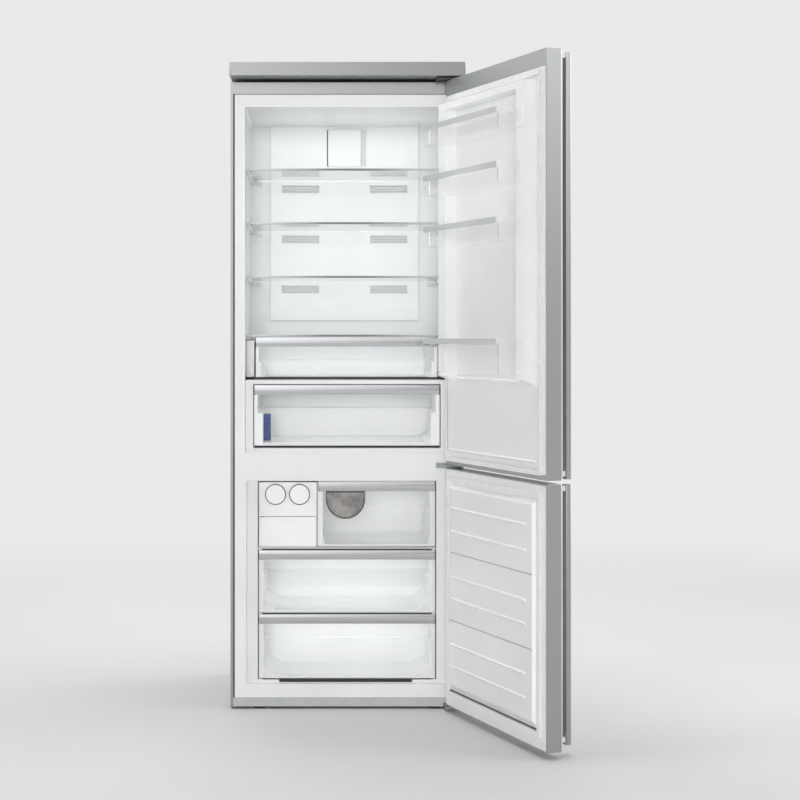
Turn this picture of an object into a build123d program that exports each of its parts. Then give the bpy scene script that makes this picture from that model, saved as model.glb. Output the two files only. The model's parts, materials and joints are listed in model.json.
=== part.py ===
"""Free-standing two-door refrigerator: cooling room above, freezer with drawers below.

Millimetres. X runs to the right, Y to the back and Z up. The origin is on the floor under the
middle of the steel case. Both doors are modelled open, on one hinge line at the right.
"""

import os
from math import cos, radians, sin

from build123d import *

os.makedirs("parts", exist_ok=True)

# Steel case
cabinet_width = 706
cabinet_depth = 620
case_top = 1897
case_bottom = 8
sheet = 1
side_return = 8
top_return = 35
groove = 5
top_groove = 2

# Base and machine room
base_height = 33
machine_depth = 240
machine_insulation = 60
kick_bottom = 7
kick_plate = 3
kick_return = 12

# Top plate
plate_side_overhang = 1
plate_front_overhang = 66
plate_thickness = 40
plate_sheet = 1.5
plate_rim = 120
plate_edge_round = 2
shadow_gap = 13
spacer_inset = 13
spacer_setback = 75

# Liners
flange = 3
liner_wall = 2.5
side_insulation = 43
ceiling_insulation = 74
rear_insulation = 69
mullion_height = 85
fridge_corner = 6
freezer_frame_step = 5
freezer_floor_rise = 42
freezer_step = 22
freezer_rear_insulation = 81
bay_side_step = 34
bay_sill = 9
bay_head = 3
hump_clearance = 13
hump_insulation = 60
ledge_width = 8
ledge_height = 10
bay_ledge_width = 13
bay_ledge_height = 4

# Air duct and lamp on the rear wall of the fridge
duct_width = 490
duct_rise = 50
duct_thickness = 14
duct_wall = 2.5
vent_width = 122
vent_height = 25
vent_offset = 146
vent_drop = 29
vent_margin = 4
vent_plate = 2
louvre_count = 3
louvre_gap = 3
lamp_width = 110
lamp_height = 123
lamp_gap = 11
lamp_thickness = 8
lamp_round = 3

# Glass shelves
first_shelf_rise = 182
shelf_pitch = 166
shelf_setback = 120
shelf_side_gap = 4
shelf_rear_gap = 3
glass = 4
trim_depth = 12
trim_height = 6
trim_grip = 8
cover_rise = 6

# Crispers and the chill box round the lower one
chill_setback = 24
chill_height = 219
chill_plate = 12
chill_floor = 14
chill_cheek_gap = 0.5
chill_wall = 3
chill_rear_gap = 56
crisper_wall = 3
crisper_corner = 12
crisper_gap = 3
upper_crisper_setback = 108
upper_crisper_side = 30
upper_crisper_height = 123
upper_crisper_rear_gap = 51
lower_crisper_setback = 28
lower_crisper_side = 28
lower_crisper_rear_gap = 36
crisper_headroom = 4
crisper_rail_height = 28
rail_thickness = 3
rail_end_gap = 1
skid_width = 10
skid_height = 6
cartridge_width = 22
cartridge_depth = 30
cartridge_height = 94
cartridge_from_side = 25
cartridge_setback = 120

# Freezer drawers and the ice maker
drawer_setback = 28
drawer_wall = 3
drawer_corner = 8
drawer_side_gap = 2.5
drawer_rail_height = 27
bottom_drawer_lift = 3
bottom_drawer_height = 194
drawer_gap = 7
middle_drawer_height = 188
freezer_shelf_clearance = 6
freezer_shelf_thickness = 6
top_drawer_room = 196
full_drawer_rear_gap = 7
short_drawer_rear_gap = 12
running_gap = 0.3
ice_maker_width = 175.5
ice_maker_wall = 3
ice_maker_depth = 340
ice_maker_top_gap = 4
ice_bin_room = 92
knob_drop = 37
knob_spacing = 73
knob_radius = 31
knob_thickness = 5.5
knob_stem_radius = 8
tray_width = 58
tray_height = 24
tray_wall = 2
tray_length = 220
tray_start = 20
ice_bin_gap = 1
ice_bin_headroom = 8
ice_bin_rear_gap = 20
drawer_partition = 5
pull_width = 119
pull_height = 84
pull_thickness = 4
pull_wall = 3
pull_from_left = 24

# Cold and hot machinery
rear_cover_plate = 3
rear_cover_space = 68
fan_drop = 73
fan_radius = 50
fan_opening_gap = 4
fan_hub_radius = 16
fan_hub_length = 18
fan_shaft_radius = 3
fan_blades = 5
blade_thickness = 2
blade_chord = 22
blade_pitch = 35
motor_radius = 26
motor_length = 32
shaft_length = 26
fin_count = 14
fin_thickness = 1.5
tube_radius = 4
evaporator_width = 420
evaporator_depth = 50
evaporator_rise = 45
evaporator_fan_gap = 25
condenser_width = 220
condenser_depth = 150
condenser_height = 110
condenser_centre = -170
compressor_radius = 78
compressor_height = 140
compressor_centre = 190
compressor_plate = 3
compressor_foot_radius = 12
compressor_foot_height = 14
compressor_dome = 45
slot_count = 9
slot_width = 300
slot_height = 6
slot_pitch = 16
return_slot_count = 3
return_slot_rise = 32
gland_radius = 12
gland_flange = 3
gland_length = 9
gland_bore = 4
gland_from_side = 60
gland_rise = 27

# Doors, hinges and handles
door_side_inset = 3
door_thickness = 45
door_sheet = 1
door_edge_round = 2.5
door_open = 108.5
gasket_gap = 12
gasket_running_gap = 0.3
gasket_width = 14
gasket_lap = 6
hinge_inset = 18
hinge_depth = 30
door_split_drop = 33
lower_door_drop = 15
door_gap = 10
rim_side = 4
rim_bottom = 15
rim_top = 48
door_liner_wall = 2
dyke_inset = 46
dyke_width = 54
dyke_height = 44
dyke_gap = 2
dyke_clear = 6
dyke_foot = 18
dyke_top_bar = 20
recess_height = 9
panel_clear = 2
panel_rise = 10
panel_length = 223
panel_height = 10
panel_corner = 30
lip_inset = 12
freezer_panel_clear = 1
freezer_panel_end = 7
freezer_panel_height = 13
freezer_panel_bevel = 18
rib_inset = 65
rib_end = 104
rib_height = 4
rib_width = 9
rib_bevel = 4
groove_drops = (205, 407)
rib_drops = ((73, 143), (73, 138), (71, 136))
groove_width = 4
groove_depth = 1
bin_drops = (128, 275, 425)
bin_height = 58
bottle_bin_rise = 13
bottle_bin_height = 98
bin_inset = 60
bin_reach = 107
bin_corner = 25
bin_wall = 2.5
bin_fit = 0.3
bin_rail_height = 17
bin_rail_inset = 26
bin_rail_thickness = 2
handle_inset = 35
handle_width = 24
handle_thickness = 16
handle_standoff = 29
handle_round = 3
post_height = 14
post_width = 16
upper_handle_ends = (0, 4)
upper_post_insets = (8, 1)
lower_handle_ends = (10, 4)
lower_post_insets = (7, 3)
pin_radius = 5
pin_length = 26
pin_fit = 0.4
bracket_thickness = 6
bracket_reach = 12
bracket_width = 76
bottom_bracket_width = 50
bracket_clearance = 2
bracket_length_on_case = 65
middle_flange_height = 32
middle_flange = 3
bottom_bracket_riser = 10
bottom_bracket_depth = 40
screw_radius = 2.5
screw_head_radius = 4.5
screw_head_height = 2.5
screw_fit = 0.2
screw_pitch = 24
top_screw_count = 3
middle_screw_count = 2

# Feet and rear rollers
foot_radius = 18
foot_pad = 8
foot_stem_radius = 5
foot_from_side = 88
foot_from_front = 25
nut_wall = 4
nut_height = 14
foot_fit = 0.3
roller_clear = 1
roller_width = 20
roller_from_side = 63
roller_from_back = 40
axle_radius = 4
cheek = 3
cheek_gap = 1
cheek_depth = 24
cheek_height = 26

# Sizes that follow from the ones above
half_width = cabinet_width / 2
inner_half = half_width - sheet
flange_half = half_width - side_return - groove
front = -cabinet_depth / 2
back = cabinet_depth / 2
inner_back = back - sheet
base_top = base_height + sheet
foam_front = front + flange
machine_front = back - machine_depth
hump_front = machine_front - machine_insulation
fridge_width = cabinet_width - 2 * side_insulation
fridge_half = fridge_width / 2
fridge_back = inner_back - rear_insulation
freezer_opening_width = fridge_width - 2 * freezer_frame_step
bay_half = freezer_opening_width / 2 - bay_side_step
bay_front = front + freezer_step
bay_back = inner_back - freezer_rear_insulation
rear_cover_front = bay_back - rear_cover_space - rear_cover_plate

# Levels of the freezer, from the floor of its opening upwards
freezer_opening_bottom = base_height + freezer_floor_rise
bay_floor = freezer_opening_bottom + bay_sill
bottom_drawer_bottom = bay_floor + bottom_drawer_lift
bottom_drawer_top = bottom_drawer_bottom + bottom_drawer_height
middle_drawer_bottom = bottom_drawer_top + drawer_gap
middle_drawer_top = middle_drawer_bottom + middle_drawer_height
freezer_shelf_bottom = middle_drawer_top + freezer_shelf_clearance
freezer_shelf_top = freezer_shelf_bottom + freezer_shelf_thickness
ice_divider_height = freezer_shelf_top + ice_bin_room
drawer_top = freezer_shelf_top + top_drawer_room
knob_height = drawer_top - knob_drop
bay_ceiling = drawer_top + ice_maker_top_gap
fan_height = bay_ceiling - fan_drop
freezer_opening_top = bay_ceiling + bay_head
hump_top = middle_drawer_bottom - hump_clearance
machine_top = hump_top - hump_insulation

# Levels of the fridge, from its floor and from its ceiling
fridge_floor = freezer_opening_top + mullion_height
fridge_ceiling = case_top - ceiling_insulation
chill_top = fridge_floor + chill_height
lower_crisper_top = chill_top - chill_plate - crisper_headroom
upper_crisper_bottom = chill_top + skid_height
upper_crisper_top = upper_crisper_bottom + upper_crisper_height
cover_height = upper_crisper_top + cover_rise
duct_bottom = cover_height + duct_rise
lamp_bottom = fridge_ceiling - lamp_gap - lamp_height
first_shelf = cover_height + first_shelf_rise
upper_shelf_count = int((lamp_bottom - glass - first_shelf) // shelf_pitch)
shelf_heights = [first_shelf + shelf_pitch * step for step in range(upper_shelf_count, -1, -1)]

# Doors and their hinge line
door_width = cabinet_width - 2 * door_side_inset
upper_door_top = case_top
upper_door_bottom = fridge_floor - door_split_drop
lower_door_top = upper_door_bottom - door_gap
lower_door_bottom = base_height - lower_door_drop
panel_bottom = fridge_floor + panel_rise
panel_top = panel_bottom + panel_length
dyke_bottom = panel_top + dyke_gap
dyke_top = fridge_ceiling - dyke_clear
bin_levels = [dyke_top - drop for drop in bin_drops]
bottle_bin_level = dyke_bottom + bottle_bin_rise
axis_x = door_width / 2 - hinge_inset
axis_y = front - gasket_gap - hinge_depth


def span(centre, size):
    """The two limits of a size about its centre."""
    return centre - size / 2, centre + size / 2


def across(half):
    """The two limits of a width that is centred on the cabinet."""
    return -half, half


def grown(limits, margin):
    """Two limits moved outwards by a margin, or inwards if it is negative."""
    return limits[0] - margin, limits[1] + margin


def slab(x_limits, y_limits, z_limits, mode=Mode.ADD):
    """Add or cut a block between limits along the three directions of the part's plane."""
    limits = (x_limits, y_limits, z_limits)
    with Locations(tuple((low + high) / 2 for low, high in limits)):
        Box(*(high - low for low, high in limits), mode=mode)


def front_plane(y):
    """Upright plane seen from the front at a depth, which extrudes towards the back."""
    return Plane(origin=(0, y, 0), x_dir=(-1, 0, 0), z_dir=(0, 1, 0))


def rounded_room(width, z_limits, y_limits, corner, mode=Mode.ADD):
    """Add or cut a room with rounded corners as seen from the front."""
    with BuildSketch(front_plane(y_limits[0])) as outline:
        with Locations((0, sum(z_limits) / 2)):
            RectangleRounded(width, z_limits[1] - z_limits[0], corner)
    extrude(outline.sketch, amount=y_limits[1] - y_limits[0], mode=mode)


def upright_round(x, y, radius, z_limits, mode=Mode.ADD):
    """Add or cut an upright round bar."""
    with BuildSketch(Plane.XY.offset(z_limits[0])) as circle:
        with Locations((x, y)):
            Circle(radius)
    extrude(circle.sketch, amount=z_limits[1] - z_limits[0], mode=mode)


def deep_round(x, z, radius, y_limits, mode=Mode.ADD):
    """Add or cut a round bar that lies front to back."""
    with BuildSketch(front_plane(y_limits[0])) as circle:
        with Locations((-x, z)):
            Circle(radius)
    extrude(circle.sketch, amount=y_limits[1] - y_limits[0], mode=mode)


def level_round(x_limits, y, z, radius, mode=Mode.ADD):
    """Add or cut a round bar that lies across the cabinet."""
    with BuildSketch(Plane.YZ.offset(x_limits[0])) as circle:
        with Locations((y, z)):
            Circle(radius)
    extrude(circle.sketch, amount=x_limits[1] - x_limits[0], mode=mode)


def tub(x_limits, y_limits, z_limits, wall, corner):
    """Add an open tub with rounded upright corners."""
    width = x_limits[1] - x_limits[0]
    depth = y_limits[1] - y_limits[0]
    centre = (sum(x_limits) / 2, sum(y_limits) / 2)
    with BuildSketch(Plane.XY.offset(z_limits[0])) as outside:
        with Locations(centre):
            RectangleRounded(width, depth, corner)
    extrude(outside.sketch, amount=z_limits[1] - z_limits[0])
    with BuildSketch(Plane.XY.offset(z_limits[0] + wall)) as inside:
        with Locations(centre):
            RectangleRounded(width - 2 * wall, depth - 2 * wall, max(corner - wall, wall))
    extrude(inside.sketch, amount=z_limits[1] - z_limits[0], mode=Mode.SUBTRACT)


def save(builder, name):
    """Name a finished piece and write it."""
    builder.part.label = name
    export_step(builder.part, f"parts/{name}.step")


# Steel case: one sheet bent over both sides and the top, with folded front edges
with BuildPart() as outer_case:
    slab((-half_width, -inner_half), (front, back), (case_bottom, case_top))
    slab((inner_half, half_width), (front, back), (case_bottom, case_top))
    slab(across(half_width), (front, back), (case_top - sheet, case_top))
    slab((-half_width, -half_width + side_return), (front, front + sheet), (case_bottom, case_top))
    slab((half_width - side_return, half_width), (front, front + sheet), (case_bottom, case_top))
    slab(across(half_width), (front, front + sheet), (case_top - top_return, case_top))
save(outer_case, "outer_case")

with BuildPart() as back_panel:
    slab(across(inner_half), (inner_back, back), (machine_top, case_top - sheet))
save(back_panel, "back_panel")

# Base pan with the step over the machine room, the nuts of the feet and the roller cheeks
foot_x = half_width - foot_from_side
foot_y = front + foot_from_front
roller_radius = (base_height - roller_clear) / 2
roller_x = half_width - roller_from_side
roller_y = back - roller_from_back
cheek_centre = roller_width / 2 + cheek_gap + cheek / 2
with BuildPart() as base_pan:
    slab(across(inner_half), (foam_front, inner_back), (base_height, base_top))
    slab(across(inner_half), (machine_front, machine_front + sheet), (base_height, machine_top))
    slab(across(inner_half), (machine_front, inner_back), (machine_top - sheet, machine_top))
    for side in (-1, 1):
        nut_limits = (base_height - nut_height, base_height)
        upright_round(side * foot_x, foot_y, foot_stem_radius + nut_wall, nut_limits)
        upright_round(side * foot_x, foot_y, foot_stem_radius + foot_fit, nut_limits, Mode.SUBTRACT)
        for cheek_side in (-1, 1):
            cheek_limits = span(side * roller_x + cheek_side * cheek_centre, cheek)
            cheek_y = span(roller_y, cheek_depth)
            slab(cheek_limits, cheek_y, (base_height - cheek_height, base_height))
            level_round(cheek_limits, roller_y, roller_radius, axle_radius + foot_fit, Mode.SUBTRACT)
save(base_pan, "base_pan")

# Kick strip under the freezer, notched for the bottom hinge
bottom_bracket_top = lower_door_bottom - bracket_clearance
bottom_bracket_bottom = bottom_bracket_top - bracket_thickness
bracket_end = axis_x + bracket_reach
bottom_bracket_x = (bracket_end - bottom_bracket_width, bracket_end)
kick_half = half_width - side_return - running_gap
with BuildPart() as kick_strip:
    slab(across(kick_half), (front, front + kick_plate), (kick_bottom, base_height))
    slab(across(kick_half), (front, front + kick_return), (base_height - kick_plate, base_height))
    notch_x = (bottom_bracket_x[0] - bracket_clearance, half_width)
    notch_z = (kick_bottom, bottom_bracket_top + bracket_clearance)
    slab(notch_x, (front, front + kick_return), notch_z, Mode.SUBTRACT)
save(kick_strip, "kick_strip")

# Fridge liner: a formed white room with a front flange and moulded shelf ledges
fridge_limits = (fridge_floor, fridge_ceiling)
flange_top = case_top - top_return - top_groove
ledge_y = (front + shelf_setback + trim_depth, fridge_back)
with BuildPart() as fridge_liner:
    slab(across(flange_half), (front, foam_front), (fridge_floor - liner_wall, flange_top))
    rounded_room(
        fridge_width + 2 * liner_wall,
        grown(fridge_limits, liner_wall),
        (front, fridge_back + liner_wall),
        fridge_corner + liner_wall,
    )
    rounded_room(fridge_width, fridge_limits, (front, fridge_back), fridge_corner, Mode.SUBTRACT)
    for height in (*shelf_heights, cover_height):
        ledge_z = (height - glass / 2 - ledge_height, height - glass / 2)
        slab((-fridge_half, -fridge_half + ledge_width), ledge_y, ledge_z)
        slab((fridge_half - ledge_width, fridge_half), ledge_y, ledge_z)
save(fridge_liner, "fridge_liner")

# Freezer liner: a shallow front recess, then the drawer bay with a step over the machine room
opening_limits = (freezer_opening_bottom, freezer_opening_top)
bay_ledges = (
    (bay_floor, bottom_drawer_bottom - running_gap, hump_front),
    (
        middle_drawer_bottom - running_gap - bay_ledge_height,
        middle_drawer_bottom - running_gap,
        rear_cover_front,
    ),
    (freezer_shelf_bottom - bay_ledge_height, freezer_shelf_bottom, rear_cover_front),
)
with BuildPart() as freezer_liner:
    slab(
        across(flange_half),
        (front, foam_front),
        (base_top, freezer_opening_top + liner_wall),
    )
    rounded_room(
        freezer_opening_width + 2 * liner_wall,
        grown(opening_limits, liner_wall),
        (front, bay_front + liner_wall),
        fridge_corner + liner_wall,
    )
    slab(
        across(bay_half + liner_wall),
        (bay_front, bay_back + liner_wall),
        (hump_top - liner_wall, bay_ceiling + liner_wall),
    )
    slab(
        across(bay_half + liner_wall),
        (bay_front, hump_front + liner_wall),
        (bay_floor - liner_wall, hump_top),
    )
    rounded_room(freezer_opening_width, opening_limits, (front, bay_front), fridge_corner, Mode.SUBTRACT)
    slab(across(bay_half), (bay_front, bay_back), (hump_top, bay_ceiling), Mode.SUBTRACT)
    slab(across(bay_half), (bay_front, hump_front), (bay_floor, hump_top), Mode.SUBTRACT)
    for ledge_bottom, ledge_top, ledge_end in bay_ledges:
        for side in (-1, 1):
            ledge_x = span(side * (bay_half - bay_ledge_width / 2), bay_ledge_width)
            slab(ledge_x, (bay_front, ledge_end), (ledge_bottom, ledge_top))
save(freezer_liner, "freezer_liner")

with BuildPart() as mullion:
    slab(
        across(flange_half),
        (front, foam_front),
        (freezer_opening_top + liner_wall, fridge_floor - liner_wall),
    )
save(mullion, "mullion")

# Foam between the case and the liners
with BuildPart() as cabinet_foam:
    slab(across(inner_half), (foam_front, inner_back), (base_top, case_top - sheet))
    slab(across(inner_half), (machine_front, inner_back), (base_top, machine_top), Mode.SUBTRACT)
    rounded_room(
        fridge_width + 2 * liner_wall,
        grown(fridge_limits, liner_wall),
        (foam_front, fridge_back + liner_wall),
        fridge_corner + liner_wall,
        Mode.SUBTRACT,
    )
    rounded_room(
        freezer_opening_width + 2 * liner_wall,
        grown(opening_limits, liner_wall),
        (foam_front, bay_front + liner_wall),
        fridge_corner + liner_wall,
        Mode.SUBTRACT,
    )
    slab(
        across(bay_half + liner_wall),
        (bay_front, bay_back + liner_wall),
        (hump_top - liner_wall, bay_ceiling + liner_wall),
        Mode.SUBTRACT,
    )
    slab(
        across(bay_half + liner_wall),
        (bay_front, hump_front + liner_wall),
        (bay_floor - liner_wall, hump_top),
        Mode.SUBTRACT,
    )
save(cabinet_foam, "cabinet_foam")

# Top plate on a dark spacer, which leaves a shadow gap over the case
plate_bottom = case_top + shadow_gap
plate_half = half_width + plate_side_overhang
plate_y = (front - plate_front_overhang, back)
with BuildPart() as top_spacer:
    slab(
        across(half_width - spacer_inset),
        (front + spacer_setback, back - spacer_inset),
        (case_top, plate_bottom),
    )
save(top_spacer, "top_spacer")

with BuildPart() as top_plate:
    slab(across(plate_half), plate_y, (plate_bottom, plate_bottom + plate_thickness))
    fillet(top_plate.edges().filter_by(Axis.Z), plate_edge_round)
    fillet(top_plate.faces().sort_by(Axis.Z)[-1].edges(), plate_edge_round)
    slab(
        across(plate_half - plate_sheet),
        grown(plate_y, -plate_sheet),
        grown((plate_bottom, plate_bottom + plate_thickness), -plate_sheet),
        Mode.SUBTRACT,
    )
    slab(
        across(plate_half - plate_rim),
        (front + plate_rim, back - plate_rim),
        (plate_bottom, plate_bottom + plate_sheet),
        Mode.SUBTRACT,
    )
save(top_plate, "top_plate")

# Air duct panel on the rear wall, its six outlet grilles and the lamp cover
duct_front = fridge_back - duct_thickness
vent_centres = [
    (side * vent_offset, height - vent_drop) for height in shelf_heights for side in (-1, 1)
]
with BuildPart() as duct_panel:
    slab(across(duct_width / 2), (duct_front, fridge_back), (duct_bottom, fridge_ceiling))
    slab(
        across(duct_width / 2 - duct_wall),
        (duct_front + duct_wall, fridge_back),
        (duct_bottom + duct_wall, fridge_ceiling - duct_wall),
        Mode.SUBTRACT,
    )
    for x, z in vent_centres:
        slab(
            span(x, vent_width),
            (duct_front, duct_front + duct_wall),
            span(z, vent_height),
            Mode.SUBTRACT,
        )
save(duct_panel, "duct_panel")

with BuildPart() as vent_grilles:
    for x, z in vent_centres:
        grille_y = (duct_front + duct_wall, duct_front + duct_wall + vent_plate)
        slab(span(x, vent_width + 2 * vent_margin), grille_y, span(z, vent_height + 2 * vent_margin))
        for step in range(louvre_count):
            louvre_z = z + (step - (louvre_count - 1) / 2) * vent_height / louvre_count
            slab(span(x, vent_width), grille_y, span(louvre_z, louvre_gap), Mode.SUBTRACT)
save(vent_grilles, "vent_grilles")

with BuildPart() as lamp_cover:
    slab(
        across(lamp_width / 2),
        (duct_front - lamp_thickness, duct_front),
        (lamp_bottom, lamp_bottom + lamp_height),
    )
    fillet(lamp_cover.faces().sort_by(Axis.Y)[0].edges(), lamp_round)
save(lamp_cover, "lamp_cover")

# Glass shelves on the ledges, with a slotted trim along each front edge
shelf_front = front + shelf_setback
shelf_half = fridge_half - shelf_side_gap
glass_y = (shelf_front + trim_depth - trim_grip, duct_front - shelf_rear_gap)
with BuildPart() as glass_shelves:
    for height in shelf_heights:
        slab(across(shelf_half), glass_y, span(height, glass))
save(glass_shelves, "glass_shelves")

with BuildPart() as crisper_cover:
    slab(across(shelf_half), glass_y, span(cover_height, glass))
save(crisper_cover, "crisper_cover")

with BuildPart() as shelf_trims:
    for height in (*shelf_heights, cover_height):
        slab(across(shelf_half), (shelf_front, shelf_front + trim_depth), span(height, trim_height))
        slot_y = (glass_y[0], shelf_front + trim_depth)
        slab(across(shelf_half), slot_y, span(height, glass), Mode.SUBTRACT)
save(shelf_trims, "shelf_trims")

# Chill box: a white frame on the fridge floor that holds the lower crisper
chill_y = (front + chill_setback, fridge_back - chill_rear_gap)
lower_crisper_half = fridge_half - lower_crisper_side
chill_inside = (fridge_floor + chill_floor, chill_top - chill_plate)
chill_half = fridge_half - chill_cheek_gap
with BuildPart() as chill_box:
    rounded_room(2 * chill_half, (fridge_floor, chill_top), chill_y, fridge_corner + chill_cheek_gap)
    slab(
        across(lower_crisper_half + crisper_gap),
        (chill_y[0], chill_y[1] - chill_wall),
        chill_inside,
        Mode.SUBTRACT,
    )
    for side in (-1, 1):
        cheek_room = (lower_crisper_half + crisper_gap + chill_wall, chill_half - chill_wall)
        slab(
            sorted(side * limit for limit in cheek_room),
            (chill_y[0] + chill_wall, chill_y[1]),
            grown((fridge_floor, chill_top), -chill_wall),
            Mode.SUBTRACT,
        )
save(chill_box, "chill_box")

# Crispers: clear tubs with a metal-look grip rail along the top of the front
upper_crisper_half = fridge_half - upper_crisper_side
upper_crisper_y = (front + upper_crisper_setback, chill_y[1] - upper_crisper_rear_gap)
with BuildPart() as upper_crisper:
    tub(
        across(upper_crisper_half),
        upper_crisper_y,
        (upper_crisper_bottom, upper_crisper_top),
        crisper_wall,
        crisper_corner,
    )
    for side in (-1, 1):
        skid_x = span(side * (upper_crisper_half - crisper_corner - skid_width / 2), skid_width)
        slab(skid_x, upper_crisper_y, (chill_top + running_gap, upper_crisper_bottom))
save(upper_crisper, "upper_crisper")

lower_crisper_y = (front + lower_crisper_setback, chill_y[1] - lower_crisper_rear_gap)
lower_crisper_bottom = chill_inside[0] + running_gap
with BuildPart() as lower_crisper:
    tub(
        across(lower_crisper_half),
        lower_crisper_y,
        (lower_crisper_bottom, lower_crisper_top),
        crisper_wall,
        crisper_corner,
    )
save(lower_crisper, "lower_crisper")

crisper_rails = {
    "upper_crisper_rail": (upper_crisper_half, upper_crisper_y[0], upper_crisper_top),
    "lower_crisper_rail": (lower_crisper_half, lower_crisper_y[0], lower_crisper_top),
}
for rail_name, (rail_half, rail_y, rail_top) in crisper_rails.items():
    with BuildPart() as crisper_rail:
        slab(
            across(rail_half - rail_end_gap),
            (rail_y - rail_thickness, rail_y),
            (rail_top - crisper_rail_height, rail_top),
        )
    save(crisper_rail, rail_name)

# Blue freshness cartridge that stands on the floor of the lower crisper
cartridge_left = -lower_crisper_half + cartridge_from_side
cartridge_front = lower_crisper_y[0] + cartridge_setback
cartridge_bottom = lower_crisper_bottom + crisper_wall
with BuildPart() as freshness_cartridge:
    slab(
        (cartridge_left, cartridge_left + cartridge_width),
        (cartridge_front, cartridge_front + cartridge_depth),
        (cartridge_bottom, cartridge_bottom + cartridge_height),
    )
save(freshness_cartridge, "freshness_cartridge")

# Freezer shelf under the ice maker and the top drawer
with BuildPart() as freezer_shelf:
    slab(
        across(bay_half - running_gap),
        (bay_front, rear_cover_front),
        (freezer_shelf_bottom, freezer_shelf_top),
    )
save(freezer_shelf, "freezer_shelf")

# Ice maker frame: knob plate and tray room above, open room for the ice bin below
drawer_half = bay_half - drawer_side_gap
drawer_front = front + drawer_setback
ice_x = (-drawer_half, -drawer_half + ice_maker_width)
ice_y = (drawer_front, drawer_front + ice_maker_depth)
knob_centres = [sum(ice_x) / 2 + side * knob_spacing / 2 for side in (-1, 1)]
with BuildPart() as ice_maker_frame:
    slab(ice_x, ice_y, (freezer_shelf_top, drawer_top))
    slab(
        grown(ice_x, -ice_maker_wall),
        (ice_y[0] + ice_maker_wall, ice_y[1]),
        (ice_divider_height + ice_maker_wall, drawer_top - ice_maker_wall),
        Mode.SUBTRACT,
    )
    slab(
        grown(ice_x, -ice_maker_wall),
        (ice_y[0], ice_y[1] - ice_maker_wall),
        (freezer_shelf_top, ice_divider_height),
        Mode.SUBTRACT,
    )
    for knob_x in knob_centres:
        plate_limits = (ice_y[0], ice_y[0] + ice_maker_wall)
        deep_round(knob_x, knob_height, knob_stem_radius + running_gap, plate_limits, Mode.SUBTRACT)
save(ice_maker_frame, "ice_maker_frame")

# Twist ice trays: each has a round front knob on a stem that carries the tray
knob_back = ice_y[0] - running_gap
tray_front = ice_y[0] + ice_maker_wall + tray_start
for tray_name, knob_x in zip(("ice_tray_left", "ice_tray_right"), knob_centres):
    with BuildPart() as ice_tray:
        tub(
            span(knob_x, tray_width),
            (tray_front, tray_front + tray_length),
            span(knob_height, tray_height),
            tray_wall,
            2 * tray_wall,
        )
        tray_end = (tray_front, tray_front + tray_wall)
        deep_round(knob_x, knob_height, knob_stem_radius + running_gap, tray_end, Mode.SUBTRACT)
        deep_round(knob_x, knob_height, knob_radius, (knob_back - knob_thickness, knob_back))
        deep_round(knob_x, knob_height, knob_stem_radius, (knob_back, tray_front + 2 * tray_wall))
    save(ice_tray, tray_name)

ice_bin_bottom = freezer_shelf_top + running_gap
with BuildPart() as ice_bin:
    tub(
        grown(ice_x, -ice_maker_wall - ice_bin_gap),
        (ice_y[0], ice_y[1] - ice_bin_rear_gap),
        (ice_bin_bottom, ice_bin_bottom + ice_bin_room - ice_bin_headroom),
        drawer_wall,
        drawer_corner,
    )
save(ice_bin, "ice_bin")

# Freezer drawers: clear tubs with a metal-look grip rail along the top of the front
full_drawer_end = rear_cover_front - full_drawer_rear_gap
short_drawer_end = hump_front - short_drawer_rear_gap
top_drawer_x = (ice_x[1] + drawer_partition, drawer_half)
drawers = {
    "top_drawer": (top_drawer_x, full_drawer_end, (ice_bin_bottom, drawer_top)),
    "middle_drawer": (across(drawer_half), full_drawer_end, (middle_drawer_bottom, middle_drawer_top)),
    "bottom_drawer": (across(drawer_half), short_drawer_end, (bottom_drawer_bottom, bottom_drawer_top)),
}
for drawer_name, (drawer_x, drawer_end, drawer_z) in drawers.items():
    with BuildPart() as drawer:
        tub(drawer_x, (drawer_front, drawer_end), drawer_z, drawer_wall, drawer_corner)
    save(drawer, drawer_name)
    with BuildPart() as drawer_rail:
        slab(
            grown(drawer_x, -rail_end_gap),
            (drawer_front - rail_thickness, drawer_front),
            (drawer_z[1] - drawer_rail_height, drawer_z[1]),
        )
    save(drawer_rail, f"{drawer_name}_rail")

# Half-round pull cup on the front of the top drawer
pull_centre = top_drawer_x[0] + pull_from_left + pull_width / 2
pull_top = drawer_top - drawer_rail_height


def pull_outline(y, inset):
    """Draw the pull as seen from the front: a flat top, short sides and a round bottom."""
    radius = pull_width / 2 - inset
    side_end = pull_top - pull_height + pull_width / 2
    with BuildSketch(front_plane(y)) as outline:
        with BuildLine():
            Polyline(
                (-pull_centre - radius, side_end),
                (-pull_centre - radius, pull_top - inset),
                (-pull_centre + radius, pull_top - inset),
                (-pull_centre + radius, side_end),
            )
            ThreePointArc(
                (-pull_centre + radius, side_end),
                (-pull_centre, side_end - radius),
                (-pull_centre - radius, side_end),
            )
        make_face()
    return outline.sketch


with BuildPart() as drawer_pull:
    extrude(pull_outline(drawer_front - pull_thickness, 0), amount=pull_thickness)
    extrude(
        pull_outline(drawer_front - pull_thickness, pull_wall),
        amount=pull_thickness / 2,
        mode=Mode.SUBTRACT,
    )
save(drawer_pull, "drawer_pull")

# Rear cover of the freezer, and behind it the fan, its motor and the evaporator
with BuildPart() as freezer_rear_cover:
    cover_y = (rear_cover_front, rear_cover_front + rear_cover_plate)
    slab(across(bay_half), cover_y, (hump_top, bay_ceiling))
    deep_round(0, fan_height, fan_radius + fan_opening_gap, cover_y, Mode.SUBTRACT)
    for step in range(return_slot_count):
        return_z = hump_top + return_slot_rise + slot_pitch * step
        slab(across(slot_width / 2), cover_y, span(return_z, slot_height), Mode.SUBTRACT)
save(freezer_rear_cover, "freezer_rear_cover")

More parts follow.
